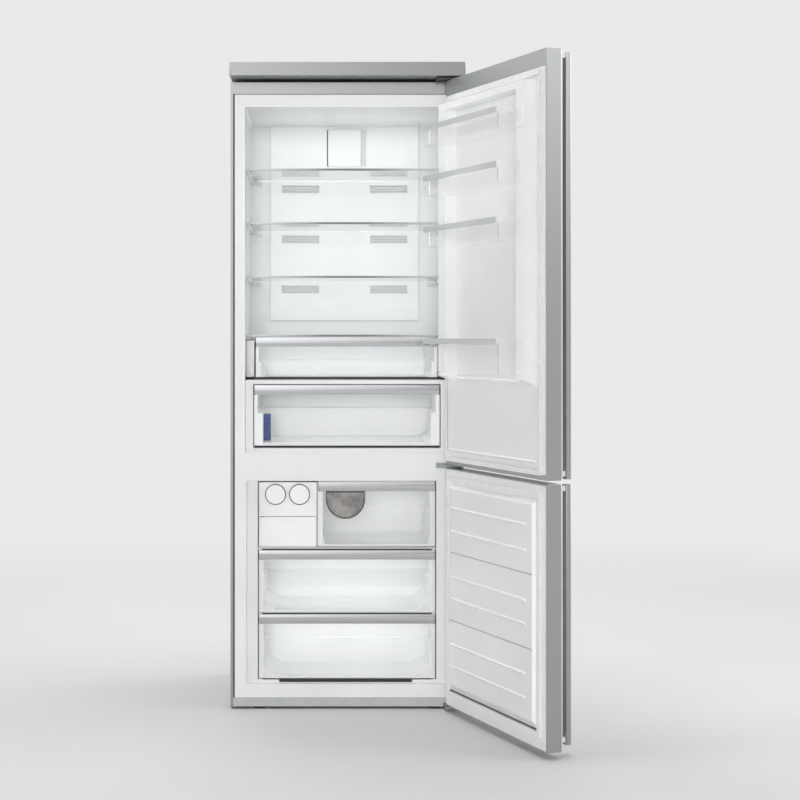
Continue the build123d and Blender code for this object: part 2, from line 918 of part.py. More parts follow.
motor_front = bay_back - motor_length
with BuildPart() as fan_motor:
    deep_round(0, fan_height, motor_radius, (motor_front, bay_back))
    deep_round(0, fan_height, fan_shaft_radius, (motor_front - shaft_length, motor_front))
save(fan_motor, "fan_motor")

fan_front = motor_front - shaft_length
with BuildPart() as evaporator_fan:
    deep_round(0, fan_height, fan_hub_radius, (fan_front, fan_front + fan_hub_length))
    for step in range(fan_blades):
        turn = radians(360 * step / fan_blades)
        pitch = radians(blade_pitch)
        outward = Vector(cos(turn), 0, sin(turn))
        sideways = Vector(-sin(turn), 0, cos(turn))
        middle = (fan_radius + fan_hub_radius) / 2 - blade_thickness
        blade_plane = Plane(
            origin=Vector(0, fan_front + fan_hub_length / 2, fan_height) + outward * middle,
            x_dir=outward,
            z_dir=Vector(0, cos(pitch), 0) + sideways * sin(pitch),
        )
        with BuildSketch(blade_plane) as blade:
            Rectangle(fan_radius - fan_hub_radius + 2 * blade_thickness, blade_chord)
        extrude(blade.sketch, amount=blade_thickness / 2, both=True)
    hub_y = (fan_front, fan_front + fan_hub_length)
    deep_round(0, fan_height, fan_shaft_radius + foot_fit, hub_y, Mode.SUBTRACT)
save(evaporator_fan, "evaporator_fan")


def finned_coil(centre_x, width, y_limits, z_limits):
    """Add upright fins joined by two rows of tubes that run across them."""
    for step in range(fin_count):
        fin_x = centre_x + (step / (fin_count - 1) - 0.5) * (width - fin_thickness)
        slab(span(fin_x, fin_thickness), y_limits, z_limits)
    depth = y_limits[1] - y_limits[0]
    height = z_limits[1] - z_limits[0]
    for row in (1 / 3, 2 / 3):
        for level in (1 / 5, 2 / 5, 3 / 5, 4 / 5):
            tube_y = y_limits[0] + depth * row
            tube_z = z_limits[0] + height * level
            level_round(span(centre_x, width), tube_y, tube_z, tube_radius)


with BuildPart() as evaporator:
    finned_coil(
        0,
        evaporator_width,
        (bay_back - evaporator_depth, bay_back),
        (hump_top + evaporator_rise, fan_height - fan_radius - evaporator_fan_gap),
    )
save(evaporator, "evaporator")

# Machine room: condenser, compressor, slotted rear cover and the gland of the mains lead
machine_middle = (machine_front + inner_back) / 2
with BuildPart() as condenser:
    finned_coil(
        condenser_centre,
        condenser_width,
        span(machine_middle, condenser_depth),
        (base_top, base_top + condenser_height),
    )
save(condenser, "condenser")

compressor_base = base_top + compressor_foot_height
can_bottom = compressor_base + compressor_plate
with BuildPart() as compressor:
    upright_round(
        compressor_centre,
        machine_middle,
        compressor_radius,
        (can_bottom, can_bottom + compressor_height),
    )
    fillet(compressor.edges().filter_by(GeomType.CIRCLE).sort_by(Axis.Z)[-1], compressor_dome)
    plate_x = span(compressor_centre, 2 * compressor_radius + 2 * compressor_foot_radius)
    plate_y_limits = span(machine_middle, 2 * compressor_radius)
    slab(plate_x, plate_y_limits, (compressor_base, can_bottom))
    for foot_edge_x in grown(plate_x, -compressor_foot_radius):
        for foot_edge_y in grown(plate_y_limits, -compressor_foot_radius):
            upright_round(foot_edge_x, foot_edge_y, compressor_foot_radius, (base_top, compressor_base))
save(compressor, "compressor")

gland_x = half_width - gland_from_side
gland_height = base_height + gland_rise
gland_neck = gland_radius - gland_bore
cover_screws = [
    (side * (inner_half - screw_pitch), z)
    for side in (-1, 1)
    for z in (base_height + screw_pitch / 2, machine_top - screw_pitch / 2)
]
with BuildPart() as machine_cover:
    slab(across(inner_half), (inner_back, back), (base_height, machine_top))
    for step in range(slot_count):
        slot_z = (base_height + machine_top) / 2 + (step - (slot_count - 1) / 2) * slot_pitch
        slab(across(slot_width / 2), (inner_back, back), span(slot_z, slot_height), Mode.SUBTRACT)
    deep_round(gland_x, gland_height, gland_neck + foot_fit, (inner_back, back), Mode.SUBTRACT)
    for x, z in cover_screws:
        deep_round(x, z, screw_radius + screw_fit, (inner_back, back), Mode.SUBTRACT)
save(machine_cover, "machine_cover")

with BuildPart() as power_gland:
    deep_round(gland_x, gland_height, gland_radius, (back, back + gland_flange))
    deep_round(gland_x, gland_height, gland_neck, (inner_back, back + gland_length))
    deep_round(gland_x, gland_height, gland_bore, (inner_back, back + gland_length), Mode.SUBTRACT)
save(power_gland, "power_gland")

# Hinge brackets with their pins, on one line at the right of the front
bracket_x = (bracket_end - bracket_width, bracket_end)
bracket_front = axis_y - bracket_reach
top_bracket_bottom = case_top + bracket_clearance
top_bracket_top = top_bracket_bottom + bracket_thickness
top_bracket_back = front + bracket_length_on_case
middle_height = (lower_door_top + upper_door_bottom) / 2
middle_plate = span(middle_height, door_gap - 2 * bracket_clearance)
bottom_bracket_back = front + bottom_bracket_depth
top_screws = [bracket_end - screw_pitch * (step + 1 / 2) for step in range(top_screw_count)]
middle_screws = [bracket_x[0] + screw_pitch * (step + 1 / 2) for step in range(middle_screw_count)]
middle_screw_height = middle_height + middle_flange_height / 4
with BuildPart() as hinge_brackets:
    slab(bracket_x, (bracket_front, top_bracket_back), (top_bracket_bottom, top_bracket_top))
    slab(bracket_x, (front, top_bracket_back), (case_top, top_bracket_bottom))
    upright_round(axis_x, axis_y, pin_radius, (top_bracket_bottom - pin_length, top_bracket_top))
    slab(bracket_x, (bracket_front, front), middle_plate)
    slab(bracket_x, (front - middle_flange, front), span(middle_height, middle_flange_height))
    upright_round(axis_x, axis_y, pin_radius, grown(middle_plate, pin_length))
    bottom_plate = (bottom_bracket_bottom, bottom_bracket_top)
    slab(bottom_bracket_x, (bracket_front, bottom_bracket_back), bottom_plate)
    riser_y = (bottom_bracket_back - bottom_bracket_riser, bottom_bracket_back)
    slab(bottom_bracket_x, riser_y, (bottom_bracket_bottom, base_height))
    upright_round(axis_x, axis_y, pin_radius, (bottom_bracket_bottom, bottom_bracket_top + pin_length))
    for x in top_screws:
        top_hole = (case_top, top_bracket_top)
        upright_round(x, front + screw_pitch, screw_radius + screw_fit, top_hole, Mode.SUBTRACT)
    for x in middle_screws:
        flange_y = (front - middle_flange, front)
        deep_round(x, middle_screw_height, screw_radius + screw_fit, flange_y, Mode.SUBTRACT)
save(hinge_brackets, "hinge_brackets")

with BuildPart() as fasteners:
    for x in top_screws:
        upright_round(x, front + screw_pitch, screw_radius, (case_top, top_bracket_top))
        head_z = (top_bracket_top, top_bracket_top + screw_head_height)
        upright_round(x, front + screw_pitch, screw_head_radius, head_z)
    for x in middle_screws:
        deep_round(x, middle_screw_height, screw_radius, (front - middle_flange, front))
        head_y = (front - middle_flange - screw_head_height, front - middle_flange)
        deep_round(x, middle_screw_height, screw_head_radius, head_y)
    for x, z in cover_screws:
        deep_round(x, z, screw_radius, (inner_back, back))
        deep_round(x, z, screw_head_radius, (back, back + screw_head_height))
save(fasteners, "fasteners")


def door_rim_plane(opening_angle):
    """Plane of a door's inner rim: x from its hinge edge, y up and z towards the cabinet."""
    turn = radians(opening_angle)
    along = Vector(-cos(turn), -sin(turn), 0)
    inward = Vector(-sin(turn), cos(turn), 0)
    corner = Vector(axis_x, axis_y, 0) - along * hinge_inset + inward * hinge_depth
    return Plane(origin=corner, x_dir=along, z_dir=inward)


door_plane = door_rim_plane(door_open)
well_radius = pin_radius + pin_fit


def pin_wells(z_limits, mode):
    """Cut the two round wells in which the hinge pins turn."""
    upright_round(axis_x, axis_y, well_radius, (z_limits[0], z_limits[0] + pin_length), mode)
    upright_round(axis_x, axis_y, well_radius, (z_limits[1] - pin_length, z_limits[1]), mode)


def ridge(u_limits, z_limits, n_limits, bevel):
    """A raised block, lying flat, whose four sides slope in by the bevel."""
    with BuildPart() as form:
        for height, step in zip(n_limits, (0, bevel)):
            with BuildSketch(Plane.XY.offset(height)):
                with Locations((sum(u_limits) / 2, sum(z_limits) / 2)):
                    Rectangle(u_limits[1] - u_limits[0] - 2 * step, z_limits[1] - z_limits[0] - 2 * step)
        loft()
    return form.part


def upper_form(inset):
    """Inner face of the upper door, lying flat: dykes and a recess above, a shallow panel below."""
    dyke_u = grown((dyke_inset, door_width - dyke_inset), -inset)
    recess_u = grown((dyke_inset + dyke_width, door_width - dyke_inset - dyke_width), inset)
    panel_u = grown((panel_inset, door_width - panel_inset), -inset)
    panel_z = grown((panel_bottom, panel_top), -inset)
    dyke_z = grown((dyke_bottom, dyke_top), -inset)
    with BuildPart() as form:
        for height, foot in ((0, dyke_foot), (dyke_height - inset, 0)):
            with BuildSketch(Plane.XY.offset(height)):
                with Locations((sum(dyke_u) / 2, (sum(dyke_z) - foot) / 2)):
                    Rectangle(dyke_u[1] - dyke_u[0], dyke_z[1] - dyke_z[0] + foot)
        loft()
        slab(
            recess_u,
            (dyke_bottom - dyke_foot, dyke_top - dyke_top_bar + inset),
            (recess_height - inset, dyke_height),
            Mode.SUBTRACT,
        )
        with BuildSketch() as panel:
            with Locations((sum(panel_u) / 2, sum(panel_z) / 2)):
                Rectangle(panel_u[1] - panel_u[0], panel_z[1] - panel_z[0])
            free_corner = panel.vertices().sort_by_distance((panel_u[1], panel_z[1], 0))[0]
            fillet(free_corner, panel_corner)
        extrude(panel.sketch, amount=panel_height - inset)
    return form.part


def lower_form(inset):
    """Inner face of the lower door, lying flat: one raised panel with wide bevels."""
    panel_u = grown((freezer_panel_inset, door_width - freezer_panel_inset - freezer_panel_end), -inset)
    panel_z = grown(freezer_panel_z, -inset)
    return ridge(panel_u, panel_z, (0, freezer_panel_height - inset), freezer_panel_bevel)


# Both doors: steel pan, foam, formed liner, gasket and bar handle
upper_z = (upper_door_bottom, upper_door_top)
lower_z = (lower_door_bottom, lower_door_top)
fridge_seal = fridge_half + gasket_lap
freezer_seal = freezer_opening_width / 2 + gasket_lap
panel_inset = door_width / 2 - fridge_seal + panel_clear
lip_u = grown((panel_inset, door_width - panel_inset), -lip_inset)
freezer_panel_inset = door_width / 2 - freezer_seal + freezer_panel_clear
freezer_panel_z = grown(opening_limits, freezer_panel_clear)
groove_levels = [freezer_opening_top - drop for drop in groove_drops]
field_tops = [freezer_opening_top, *groove_levels]
rib_levels = [top - drop for top, drops in zip(field_tops, rib_drops) for drop in drops]
doors = {
    "upper_door": (
        upper_z,
        (upper_door_bottom + rim_bottom, upper_door_top - rim_top),
        upper_form,
        (lip_u, [panel_bottom + rib_width / 2], panel_height),
        (fridge_seal, grown(fridge_limits, gasket_lap)),
        (upper_handle_ends, upper_post_insets),
    ),
    "lower_door": (
        lower_z,
        grown(lower_z, -rim_side),
        lower_form,
        ((rib_inset, door_width - rib_end), rib_levels, freezer_panel_height),
        (freezer_seal, grown(opening_limits, gasket_lap)),
        (lower_handle_ends, lower_post_insets),
    ),
}
for door_name, (door_z, rim_z, form, ribs, seal, grip) in doors.items():
    rim_u = (rim_side, door_width - rim_side)
    hollow_u = (door_sheet, door_width - door_sheet)
    hollow_z = grown(door_z, -door_sheet)
    hollow_n = (-door_thickness + door_sheet, -door_sheet)
    outer_form = form(0)
    inner_form = form(door_liner_wall)

    with BuildPart(door_plane) as skin:
        slab((0, door_width), door_z, (-door_thickness, 0))
        outward_order = Axis(door_plane.origin, door_plane.z_dir)
        fillet(skin.faces().sort_by(outward_order)[0].edges(), door_edge_round)
        slab(hollow_u, hollow_z, hollow_n, Mode.SUBTRACT)
        slab(rim_u, rim_z, (-door_sheet, 0), Mode.SUBTRACT)
        pin_wells(door_z, Mode.SUBTRACT)
    save(skin, f"{door_name}_skin")

    with BuildPart(door_plane) as foam:
        slab(hollow_u, hollow_z, hollow_n)
        slab(rim_u, rim_z, (-door_sheet, 0))
        add(inner_form)
        pin_wells(door_z, Mode.SUBTRACT)
    save(foam, f"{door_name}_foam")

    with BuildPart(door_plane) as liner:
        slab(rim_u, rim_z, (0, door_liner_wall))
        add(outer_form)
        add(inner_form, mode=Mode.SUBTRACT)
        rib_u, levels, rib_base = ribs
        for level in levels:
            add(ridge(rib_u, span(level, rib_width), (rib_base, rib_base + rib_height), rib_bevel))
        if door_name == "lower_door":
            for level in groove_levels:
                groove_n = (freezer_panel_height - groove_depth, freezer_panel_height)
                slab((0, door_width), span(level, groove_width), groove_n, Mode.SUBTRACT)
    save(liner, f"{door_name}_liner")

    seal_half, seal_z = seal
    with BuildPart(door_plane) as gasket:
        seal_u = span(door_width / 2, 2 * seal_half)
        gasket_n = (door_liner_wall, gasket_gap - gasket_running_gap)
        slab(grown(seal_u, gasket_width), grown(seal_z, gasket_width), gasket_n)
        slab(seal_u, seal_z, gasket_n, Mode.SUBTRACT)
    save(gasket, f"{door_name}_gasket")

    handle_ends, post_insets = grip
    handle_z = (door_z[0] + handle_ends[0], door_z[1] - handle_ends[1])
    with BuildPart(door_plane) as handle:
        handle_end = door_width - handle_inset
        handle_u = (handle_end - handle_width, handle_end)
        handle_n = -door_thickness - handle_standoff
        slab(handle_u, handle_z, (handle_n - handle_thickness, handle_n))
        fillet(handle.edges().filter_by(Axis.Z), handle_round)
        post_u = span(sum(handle_u) / 2, post_width)
        low_post = handle_z[0] + post_insets[0]
        high_post = handle_z[1] - post_insets[1]
        slab(post_u, (low_post, low_post + post_height), (handle_n, -door_thickness))
        slab(post_u, (high_post - post_height, high_post), (handle_n, -door_thickness))
    save(handle, f"{door_name}_handle")


# Clear bins that hook between the dykes of the upper door and spread in front of them
def bin_outline(height, inset):
    """Draw a bin from above: the narrow back between the dykes and the wide front."""
    narrow = dyke_inset + dyke_width + bin_fit + inset
    wide = bin_inset + inset
    shoulder = dyke_height + inset
    reach = bin_reach - inset
    floor_plane = Plane(
        origin=(door_plane.origin.X, door_plane.origin.Y, height),
        x_dir=door_plane.x_dir,
        z_dir=(0, 0, 1),
    )
    with BuildSketch(floor_plane) as outline:
        with BuildLine():
            Polyline(
                (wide, -shoulder),
                (wide, -reach),
                (door_width - wide, -reach),
                (door_width - wide, -shoulder),
                (door_width - narrow, -shoulder),
                (door_width - narrow, -recess_height - bin_fit - inset),
                (narrow, -recess_height - bin_fit - inset),
                (narrow, -shoulder),
                close=True,
            )
        make_face()
        fillet(outline.vertices().group_by(Axis.Y)[0], bin_corner - inset)
    return outline.sketch


def door_bin(level, height):
    """Add a bin with its floor and walls."""
    extrude(bin_outline(level, 0), amount=height)
    extrude(bin_outline(level + bin_wall, bin_wall), amount=height, mode=Mode.SUBTRACT)


with BuildPart() as door_bins:
    for level in bin_levels:
        door_bin(level, bin_height)
save(door_bins, "door_bins")

with BuildPart() as bottle_bin:
    door_bin(bottle_bin_level, bottle_bin_height)
save(bottle_bin, "bottle_bin")

rail_tops = [level + bin_height for level in bin_levels] + [bottle_bin_level + bottle_bin_height]
with BuildPart(door_plane) as door_bin_rails:
    for rail_top in rail_tops:
        rail_inset = bin_inset + bin_rail_inset
        slab(
            (rail_inset, door_width - rail_inset),
            (rail_top - bin_rail_height, rail_top),
            (bin_reach, bin_reach + bin_rail_thickness),
        )
save(door_bin_rails, "door_bin_rails")

# Levelling feet at the front and rollers on stub axles at the back
for foot_name, side in (("foot_left", -1), ("foot_right", 1)):
    with BuildPart() as foot:
        upright_round(side * foot_x, foot_y, foot_radius, (0, foot_pad))
        upright_round(side * foot_x, foot_y, foot_stem_radius, (foot_pad, base_height - sheet))
    save(foot, foot_name)

axle_length = 2 * (cheek_centre + cheek)
with BuildPart() as rear_rollers:
    for side in (-1, 1):
        level_round(span(side * roller_x, roller_width), roller_y, roller_radius, roller_radius)
        level_round(span(side * roller_x, axle_length), roller_y, roller_radius, axle_radius)
save(rear_rollers, "rear_rollers")
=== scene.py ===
import json
from math import cos, pi, radians, sin

import bmesh
import bpy
from mathutils import Matrix, Vector


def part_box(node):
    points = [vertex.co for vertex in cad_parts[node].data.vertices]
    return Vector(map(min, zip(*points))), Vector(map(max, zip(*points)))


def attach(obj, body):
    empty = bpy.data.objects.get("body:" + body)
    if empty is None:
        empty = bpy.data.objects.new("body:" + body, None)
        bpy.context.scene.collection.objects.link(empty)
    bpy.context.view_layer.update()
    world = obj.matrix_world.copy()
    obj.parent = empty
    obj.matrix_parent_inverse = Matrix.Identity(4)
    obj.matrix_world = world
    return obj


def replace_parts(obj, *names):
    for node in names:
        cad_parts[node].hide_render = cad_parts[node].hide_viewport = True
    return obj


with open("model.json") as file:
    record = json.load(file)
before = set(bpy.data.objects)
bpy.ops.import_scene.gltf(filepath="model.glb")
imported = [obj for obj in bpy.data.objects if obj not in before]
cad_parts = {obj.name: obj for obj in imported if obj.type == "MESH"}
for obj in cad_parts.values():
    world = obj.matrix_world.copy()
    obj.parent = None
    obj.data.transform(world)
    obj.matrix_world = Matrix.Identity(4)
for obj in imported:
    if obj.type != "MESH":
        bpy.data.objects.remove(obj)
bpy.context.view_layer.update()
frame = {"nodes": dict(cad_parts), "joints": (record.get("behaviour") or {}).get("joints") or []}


# ---- Base pan, feet and rollers ----
# Zinc-coated sheet steel with pressed nuts. The feet and rollers are black nylon. All are pressed or moulded, and the
# CAD pieces already have their full shape, so they only get their finishes here.
MM = 0.001


def linear(code):
    """Turn an sRGB hex colour into the linear colour that a shader takes."""
    parts = [int(code[i:i + 2], 16) / 255 for i in (0, 2, 4)]
    return (*[c / 12.92 if c <= 0.04045 else ((c + 0.055) / 1.055) ** 2.4 for c in parts], 1.0)


def add(tree, kind, values=None, links=None, **settings):
    """Add a node with its settings, its input values and the links into it."""
    node = tree.nodes.new("ShaderNode" + kind)
    for name, value in settings.items():
        setattr(node, name, value)
    for name, value in (values or {}).items():
        node.inputs[name].default_value = value
    for name, socket in (links or {}).items():
        tree.links.new(socket, node.inputs[name])
    return node


def finish(name, grain, tones, rough, relief=0.0, detail=3.0, **sockets):
    """Make a material whose colour, sheen and relief follow one grain.

    grain is the length of the grain along X, Y and Z in mm, tones its dark and light colour, rough its least and
    greatest roughness and relief its depth in mm. The other values go on the shader's own sockets.
    """
    material = bpy.data.materials.new(name)
    material.use_nodes = True
    tree = material.node_tree
    shader = tree.nodes["Principled BSDF"]
    for socket, value in sockets.items():
        shader.inputs[socket.replace("_", " ")].default_value = value
    spot = add(tree, "TexCoord")
    place = add(tree, "Mapping", {"Scale": [1 / (g * MM) for g in grain]}, {"Vector": spot.outputs["Object"]})
    noise = add(tree, "TexNoise", {"Scale": 1.0, "Detail": detail}, {"Vector": place.outputs["Vector"]})
    ramp = add(tree, "ValToRGB", links={"Fac": noise.outputs["Fac"]})
    # Noise seldom leaves its middle range, so the two tones stand at the ends of that range.
    ramp.color_ramp.elements[0].position, ramp.color_ramp.elements[1].position = 0.3, 0.7
    ramp.color_ramp.elements[0].color, ramp.color_ramp.elements[1].color = map(linear, tones)
    tree.links.new(ramp.outputs["Color"], shader.inputs["Base Color"])
    sheen = add(tree, "MapRange", {"To Min": rough[0], "To Max": rough[1]}, {"Value": noise.outputs["Fac"]})
    tree.links.new(sheen.outputs["Result"], shader.inputs["Roughness"])
    if relief:
        bump = add(tree, "Bump", {"Strength": 1.0, "Distance": relief * MM}, {"Height": noise.outputs["Fac"]})
        tree.links.new(bump.outputs["Normal"], shader.inputs["Normal"])
    return material


def weld(node):
    """Join the corners that neighbouring faces of a CAD piece share."""
    node.modifiers.new("weld", "WELD").merge_threshold = 0.01 * MM


def dress(material, *names, edge=0.0):
    """Give CAD pieces their finish, and round their sharp edges by edge in mm."""
    for name in names:
        node = frame["nodes"][name]
        node.data.materials.clear()
        node.data.materials.append(material)
        if edge:
            weld(node)
            bevel = node.modifiers.new("edge", "BEVEL")
            bevel.width, bevel.segments = edge * MM, 2
            bevel.limit_method, bevel.angle_limit = "ANGLE", radians(40)


# Galvanised sheet: grey metal with soft spangles about 12 mm across.
galvanised = finish("galvanised_sheet", (12, 12, 12), ("9A9DA0", "B4B7B9"), (0.38, 0.55), 0.02, Metallic=1.0)
# Black nylon: dull, slightly pebbled.
nylon = finish("black_nylon", (3, 3, 3), ("202123", "2B2C2E"), (0.45, 0.6), 0.05)
dress(galvanised, "base_pan")
dress(nylon, "foot_left", "foot_right", "rear_rollers")


# ---- Case and back panel ----
# Brushed stainless sheet bent over both sides and the top, closed at the back by a zinc-coated panel. A dark strip
# of painted shade lies in the narrow groove between the folded front edges and the white flange of the liner.
# Brushed stainless, brushed upright. The true brush lines are about 0.2 mm wide, too fine for a picture of the whole
# object, so they are drawn 1 mm wide and 600 mm long.
steel_upright = finish("brushed_stainless_upright", (1, 1, 600), ("AAACAD", "ACADAE"), (0.27, 0.275), Metallic=1.0)
dress(steel_upright, "outer_case")
dress(galvanised, "back_panel")


def piece(name, mesh, materials, body):
    """Turn a finished mesh into a piece that moves with a body."""
    data = bpy.data.meshes.new(name)
    bmesh.ops.recalc_face_normals(mesh, faces=mesh.faces)
    mesh.to_mesh(data)
    mesh.free()
    for material in materials:
        data.materials.append(material)
    thing = bpy.data.objects.new(name, data)
    bpy.context.scene.collection.objects.link(thing)
    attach(thing, body)
    return thing


def bars(name, limits, material, body, edge=0.5, place=None):
    """Bars between their X, Y and Z limits in mm, as one piece.

    edge is how far their edges are rounded in mm. place is the matrix of the frame that the limits are given in.
    """
    mesh = bmesh.new()
    for spans in limits:
        made = bmesh.ops.create_cube(mesh, size=1.0)["verts"]
        for vert in made:
            vert.co = Vector([(low + high) / 2 + (high - low) * c for c, (low, high) in zip(vert.co, spans)]) * MM
        edges = list({e for v in made for e in v.link_edges})
        bmesh.ops.bevel(mesh, geom=edges, offset=edge * MM, segments=2, profile=0.5, affect="EDGES")
    if place:
        mesh.transform(place)
    return piece(name, mesh, [material], body)


# Dark grey, dull: painted shade, laid as strips in gaps and grooves.
gap_shade = finish("gap_shade_strip", (6, 6, 6), ("3C3D3F", "4A4B4D"), (0.5, 0.65), 0.05)
groove_near, groove_far, groove_depth, groove_foot, groove_top = 340, 345, (-309, -307), 34, 1862
bars("groove_shade", [(sorted((s * groove_near, s * groove_far)), groove_depth, (groove_foot, groove_top))
                     for s in (-1, 1)] +
     [((-groove_near, groove_near), groove_depth, (groove_top - 2, groove_top))], gap_shade, "cabinet",
     edge=0.3)


# ---- Insulation ----
# Rigid polyurethane foam, poured between case and liners and into both doors, where it sets and holds the sheets
# together. It is hidden in the finished object.
# Foam: pale yellow, dull, with cells drawn 4 mm wide.
foam = finish("polyurethane_foam", (4, 4, 4), ("D9C48C", "E6D5A4"), (0.85, 0.95), 0.4)
dress(foam, "cabinet_foam", "upper_door_foam", "lower_door_foam")


# ---- Liners and mullion ----
# White polystyrene sheet, vacuum formed over a mould, so every edge is softly rounded. The mullion is a moulded bar
# that closes the gap between the two rooms.
# White polystyrene: clean, cool white with a soft gloss and the faint waviness of formed sheet.
white = finish("white_polystyrene", (150, 150, 150), ("E7E8E8", "EBECEC"), (0.26, 0.34), 0.02, 1.0)
dress(white, "fridge_liner", "freezer_liner", "mullion", edge=1.0)
# Bright polystyrene: the whitest mouldings, with a soft gloss. It also serves as painted highlight.
bright = finish("bright_polystyrene_and_highlight", (120, 120, 120), ("F3F4F4", "F7F7F7"), (0.2, 0.28), 0.02, 1.0)
# A bright strip along the rim of the upper room is a painted highlight of its rounded lip. On the right it starts
# above the panel of the closed door.
rim_near, rim_far, rim_depth, rim_foot, rim_top = 309.7, 313.5, (-311, -309.5), 778, 1827
door_panel_top = 1012
bars("room_rim_highlight", [((-rim_far, -rim_near), rim_depth, (rim_foot, rim_top)),
                       ((rim_near, rim_far), rim_depth, (door_panel_top, rim_top)),
                       ((-rim_far, rim_far), rim_depth, (1823.3, 1827.3))], bright, "cabinet", edge=0.7)
# The air slot in the sill under the lowest drawer is filled by a black strip: painted shade.
black_shade = finish("black_painted_shade", (8, 8, 8), ("202122", "2C2D2E"), (0.5, 0.7), 0.02)
bars("sill_air_slot", [((-206, 198), (-290.5, -288), (77.5, 86.3))], black_shade, "cabinet", edge=0.6)
# Dark strips of painted shade fill the narrow gap on each side of the drawers.
gap_middle, gap_half = 270, 0.9
bars("freezer_side_gap_shade", [((s * gap_middle - gap_half, s * gap_middle + gap_half), (-289, -284), (84.5, 687.5))
                            for s in (-1, 1)], gap_shade, "cabinet", edge=0.3)


# ---- Machine room ----
# Compressor can in black enamel, finned condenser coil, slotted cover and the gland of the mains lead. Behind the
# freezer are the evaporator coil, its cover and the fan with its motor.
# Black enamel: deep, with a mild gloss.
enamel = finish("black_enamel", (20, 20, 20), ("17181A", "202124"), (0.28, 0.4), 0.02)
# Bare aluminium fins and tube: bright and a little rough.
aluminium = finish("bare_aluminium", (8, 8, 8), ("BFC2C4", "D2D4D5"), (0.35, 0.5), 0.02, Metallic=1.0)
# Dark plastic: charcoal, dull. It is also the painted shade on the top hinge bracket and its screws.
charcoal = finish("charcoal_plastic_and_shade", (3, 3, 3), ("2C2D2F", "38393B"), (0.45, 0.6), 0.03)
# Fan plastic: pale grey, satin.
pale_grey = finish("pale_grey_plastic", (15, 15, 15), ("C9CBCC", "D4D5D6"), (0.35, 0.45), 0.02)
dress(enamel, "compressor")
dress(aluminium, "condenser", "evaporator")
dress(galvanised, "machine_cover")
dress(charcoal, "power_gland", "fan_motor")
dress(pale_grey, "evaporator_fan")
dress(white, "freezer_rear_cover", edge=0.5)


# ---- Top plate and spacer ----
# Thick folded stainless plate that stands over the doors, brushed from side to side, on a dark spacer that makes a
# shadow gap.
# Brushed stainless, brushed along X, drawn as coarse as on the case.
steel_across = finish("brushed_stainless_across", (600, 1, 1), ("9D9E9F", "A2A4A4"), (0.2, 0.23), Metallic=1.0)
dress(steel_across, "top_plate", edge=1.0)
# Dark spacer: grey-black, dull.
spacer_plastic = finish("spacer_plastic", (10, 10, 10), ("4A4B4C", "545556"), (0.5, 0.6), 0.02)
dress(spacer_plastic, "top_spacer")
# Satin grey infill under the overhang of the plate, a little darker than the steel.
dark_grey = finish("dark_grey_plastic", (20, 20, 20), ("929496", "9C9E9F"), (0.4, 0.5), 0.02)
bars("plate_underside", [((-351, 351), (-374, -236), (1908.9, 1910))], dark_grey, "cabinet", edge=0.3)


# ---- Kick strip ----
# Strip that closes the base under the freezer and hides the feet. It is moulded from grey plastic and clipped to the
# base pan.
# Grey plastic: mid grey, satin. It is also the painted shade in the grooves of the door liners.
grey = finish("grey_plastic", (25, 25, 25), ("B3B5B6", "BEBFC0"), (0.32, 0.42), 0.03)
dress(grey, "kick_strip", edge=0.8)


# ---- Duct panel, grilles and lamp ----
# White moulded panel with six outlet grilles, and the lamp at its top. The lamp has a white cover, a dark strip of
# painted shade in the joint on the left and a frosted grey side lens on the right.
dress(white, "duct_panel", edge=1.0)
dress(white, "lamp_cover", edge=2.0)
# Grille plastic: light grey, satin.
light_grey = finish("light_grey_plastic", (15, 15, 15), ("D4D5D6", "DCDDDD"), (0.35, 0.45), 0.02)
dress(light_grey, "vent_grilles", edge=0.4)
# Frosted lens: pale grey, dull.
frosted = finish("frosted_lens", (6, 6, 2), ("CDCECF", "D8D9D9"), (0.45, 0.6), 0.05)
lamp_heights, rib_pitch, rib_half = (1690, 1811), 9, 1.5
bars("lamp_side_lens", [((55.3, 71), (222.5, 226), lamp_heights)] +
     [((56.5, 70), (221.7, 223), (z - rib_half, z + rib_half)) for z in range(1700, 1806, rib_pitch)], frosted,
     "cabinet", edge=0.6)
# The dark joint on the left of the lamp is painted shade.
bars("lamp_joint_shade", [((-58, -55.2), (223.5, 226), lamp_heights)], gap_shade, "cabinet", edge=0.5)


# ---- Glass shelves ----
# Toughened glass plates, cut and ground, that lie on the ledges of the liner. Each has an aluminium-look strip pressed
# on its front edge, and clips hold the rear corners.
# Float glass: clear with a cool tint. Lamps shine through it.
glass = finish("float_glass", (300, 300, 300), ("F5F7F7", "F8F9F9"), (0.02, 0.04), Transmission_Weight=1.0, IOR=1.5)


def light_through(material, tint):
    """Let lamps and scattered light pass straight through a see-through material."""
    tree = material.node_tree
    rays = add(tree, "LightPath")
    passing = add(tree, "Math", links={0: rays.outputs["Is Shadow Ray"], 1: rays.outputs["Is Diffuse Ray"]},
                  operation="MAXIMUM")
    open_way = add(tree, "BsdfTransparent", {"Color": linear(tint)})
    both = add(tree, "MixShader", links={0: passing.outputs["Value"], 2: open_way.outputs["BSDF"],
                                         1: tree.nodes["Principled BSDF"].outputs["BSDF"]})
    tree.links.new(both.outputs["Shader"], tree.nodes["Material Output"].inputs["Surface"])


light_through(glass, "FBFCFC")
dress(glass, "glass_shelves", "crisper_cover")
# Satin aluminium, drawn along X: soft reflections.
satin = finish("satin_aluminium", (300, 3, 3), ("C4C5C7", "CBCCCE"), (0.1, 0.15), 0.001, Metallic=1.0)
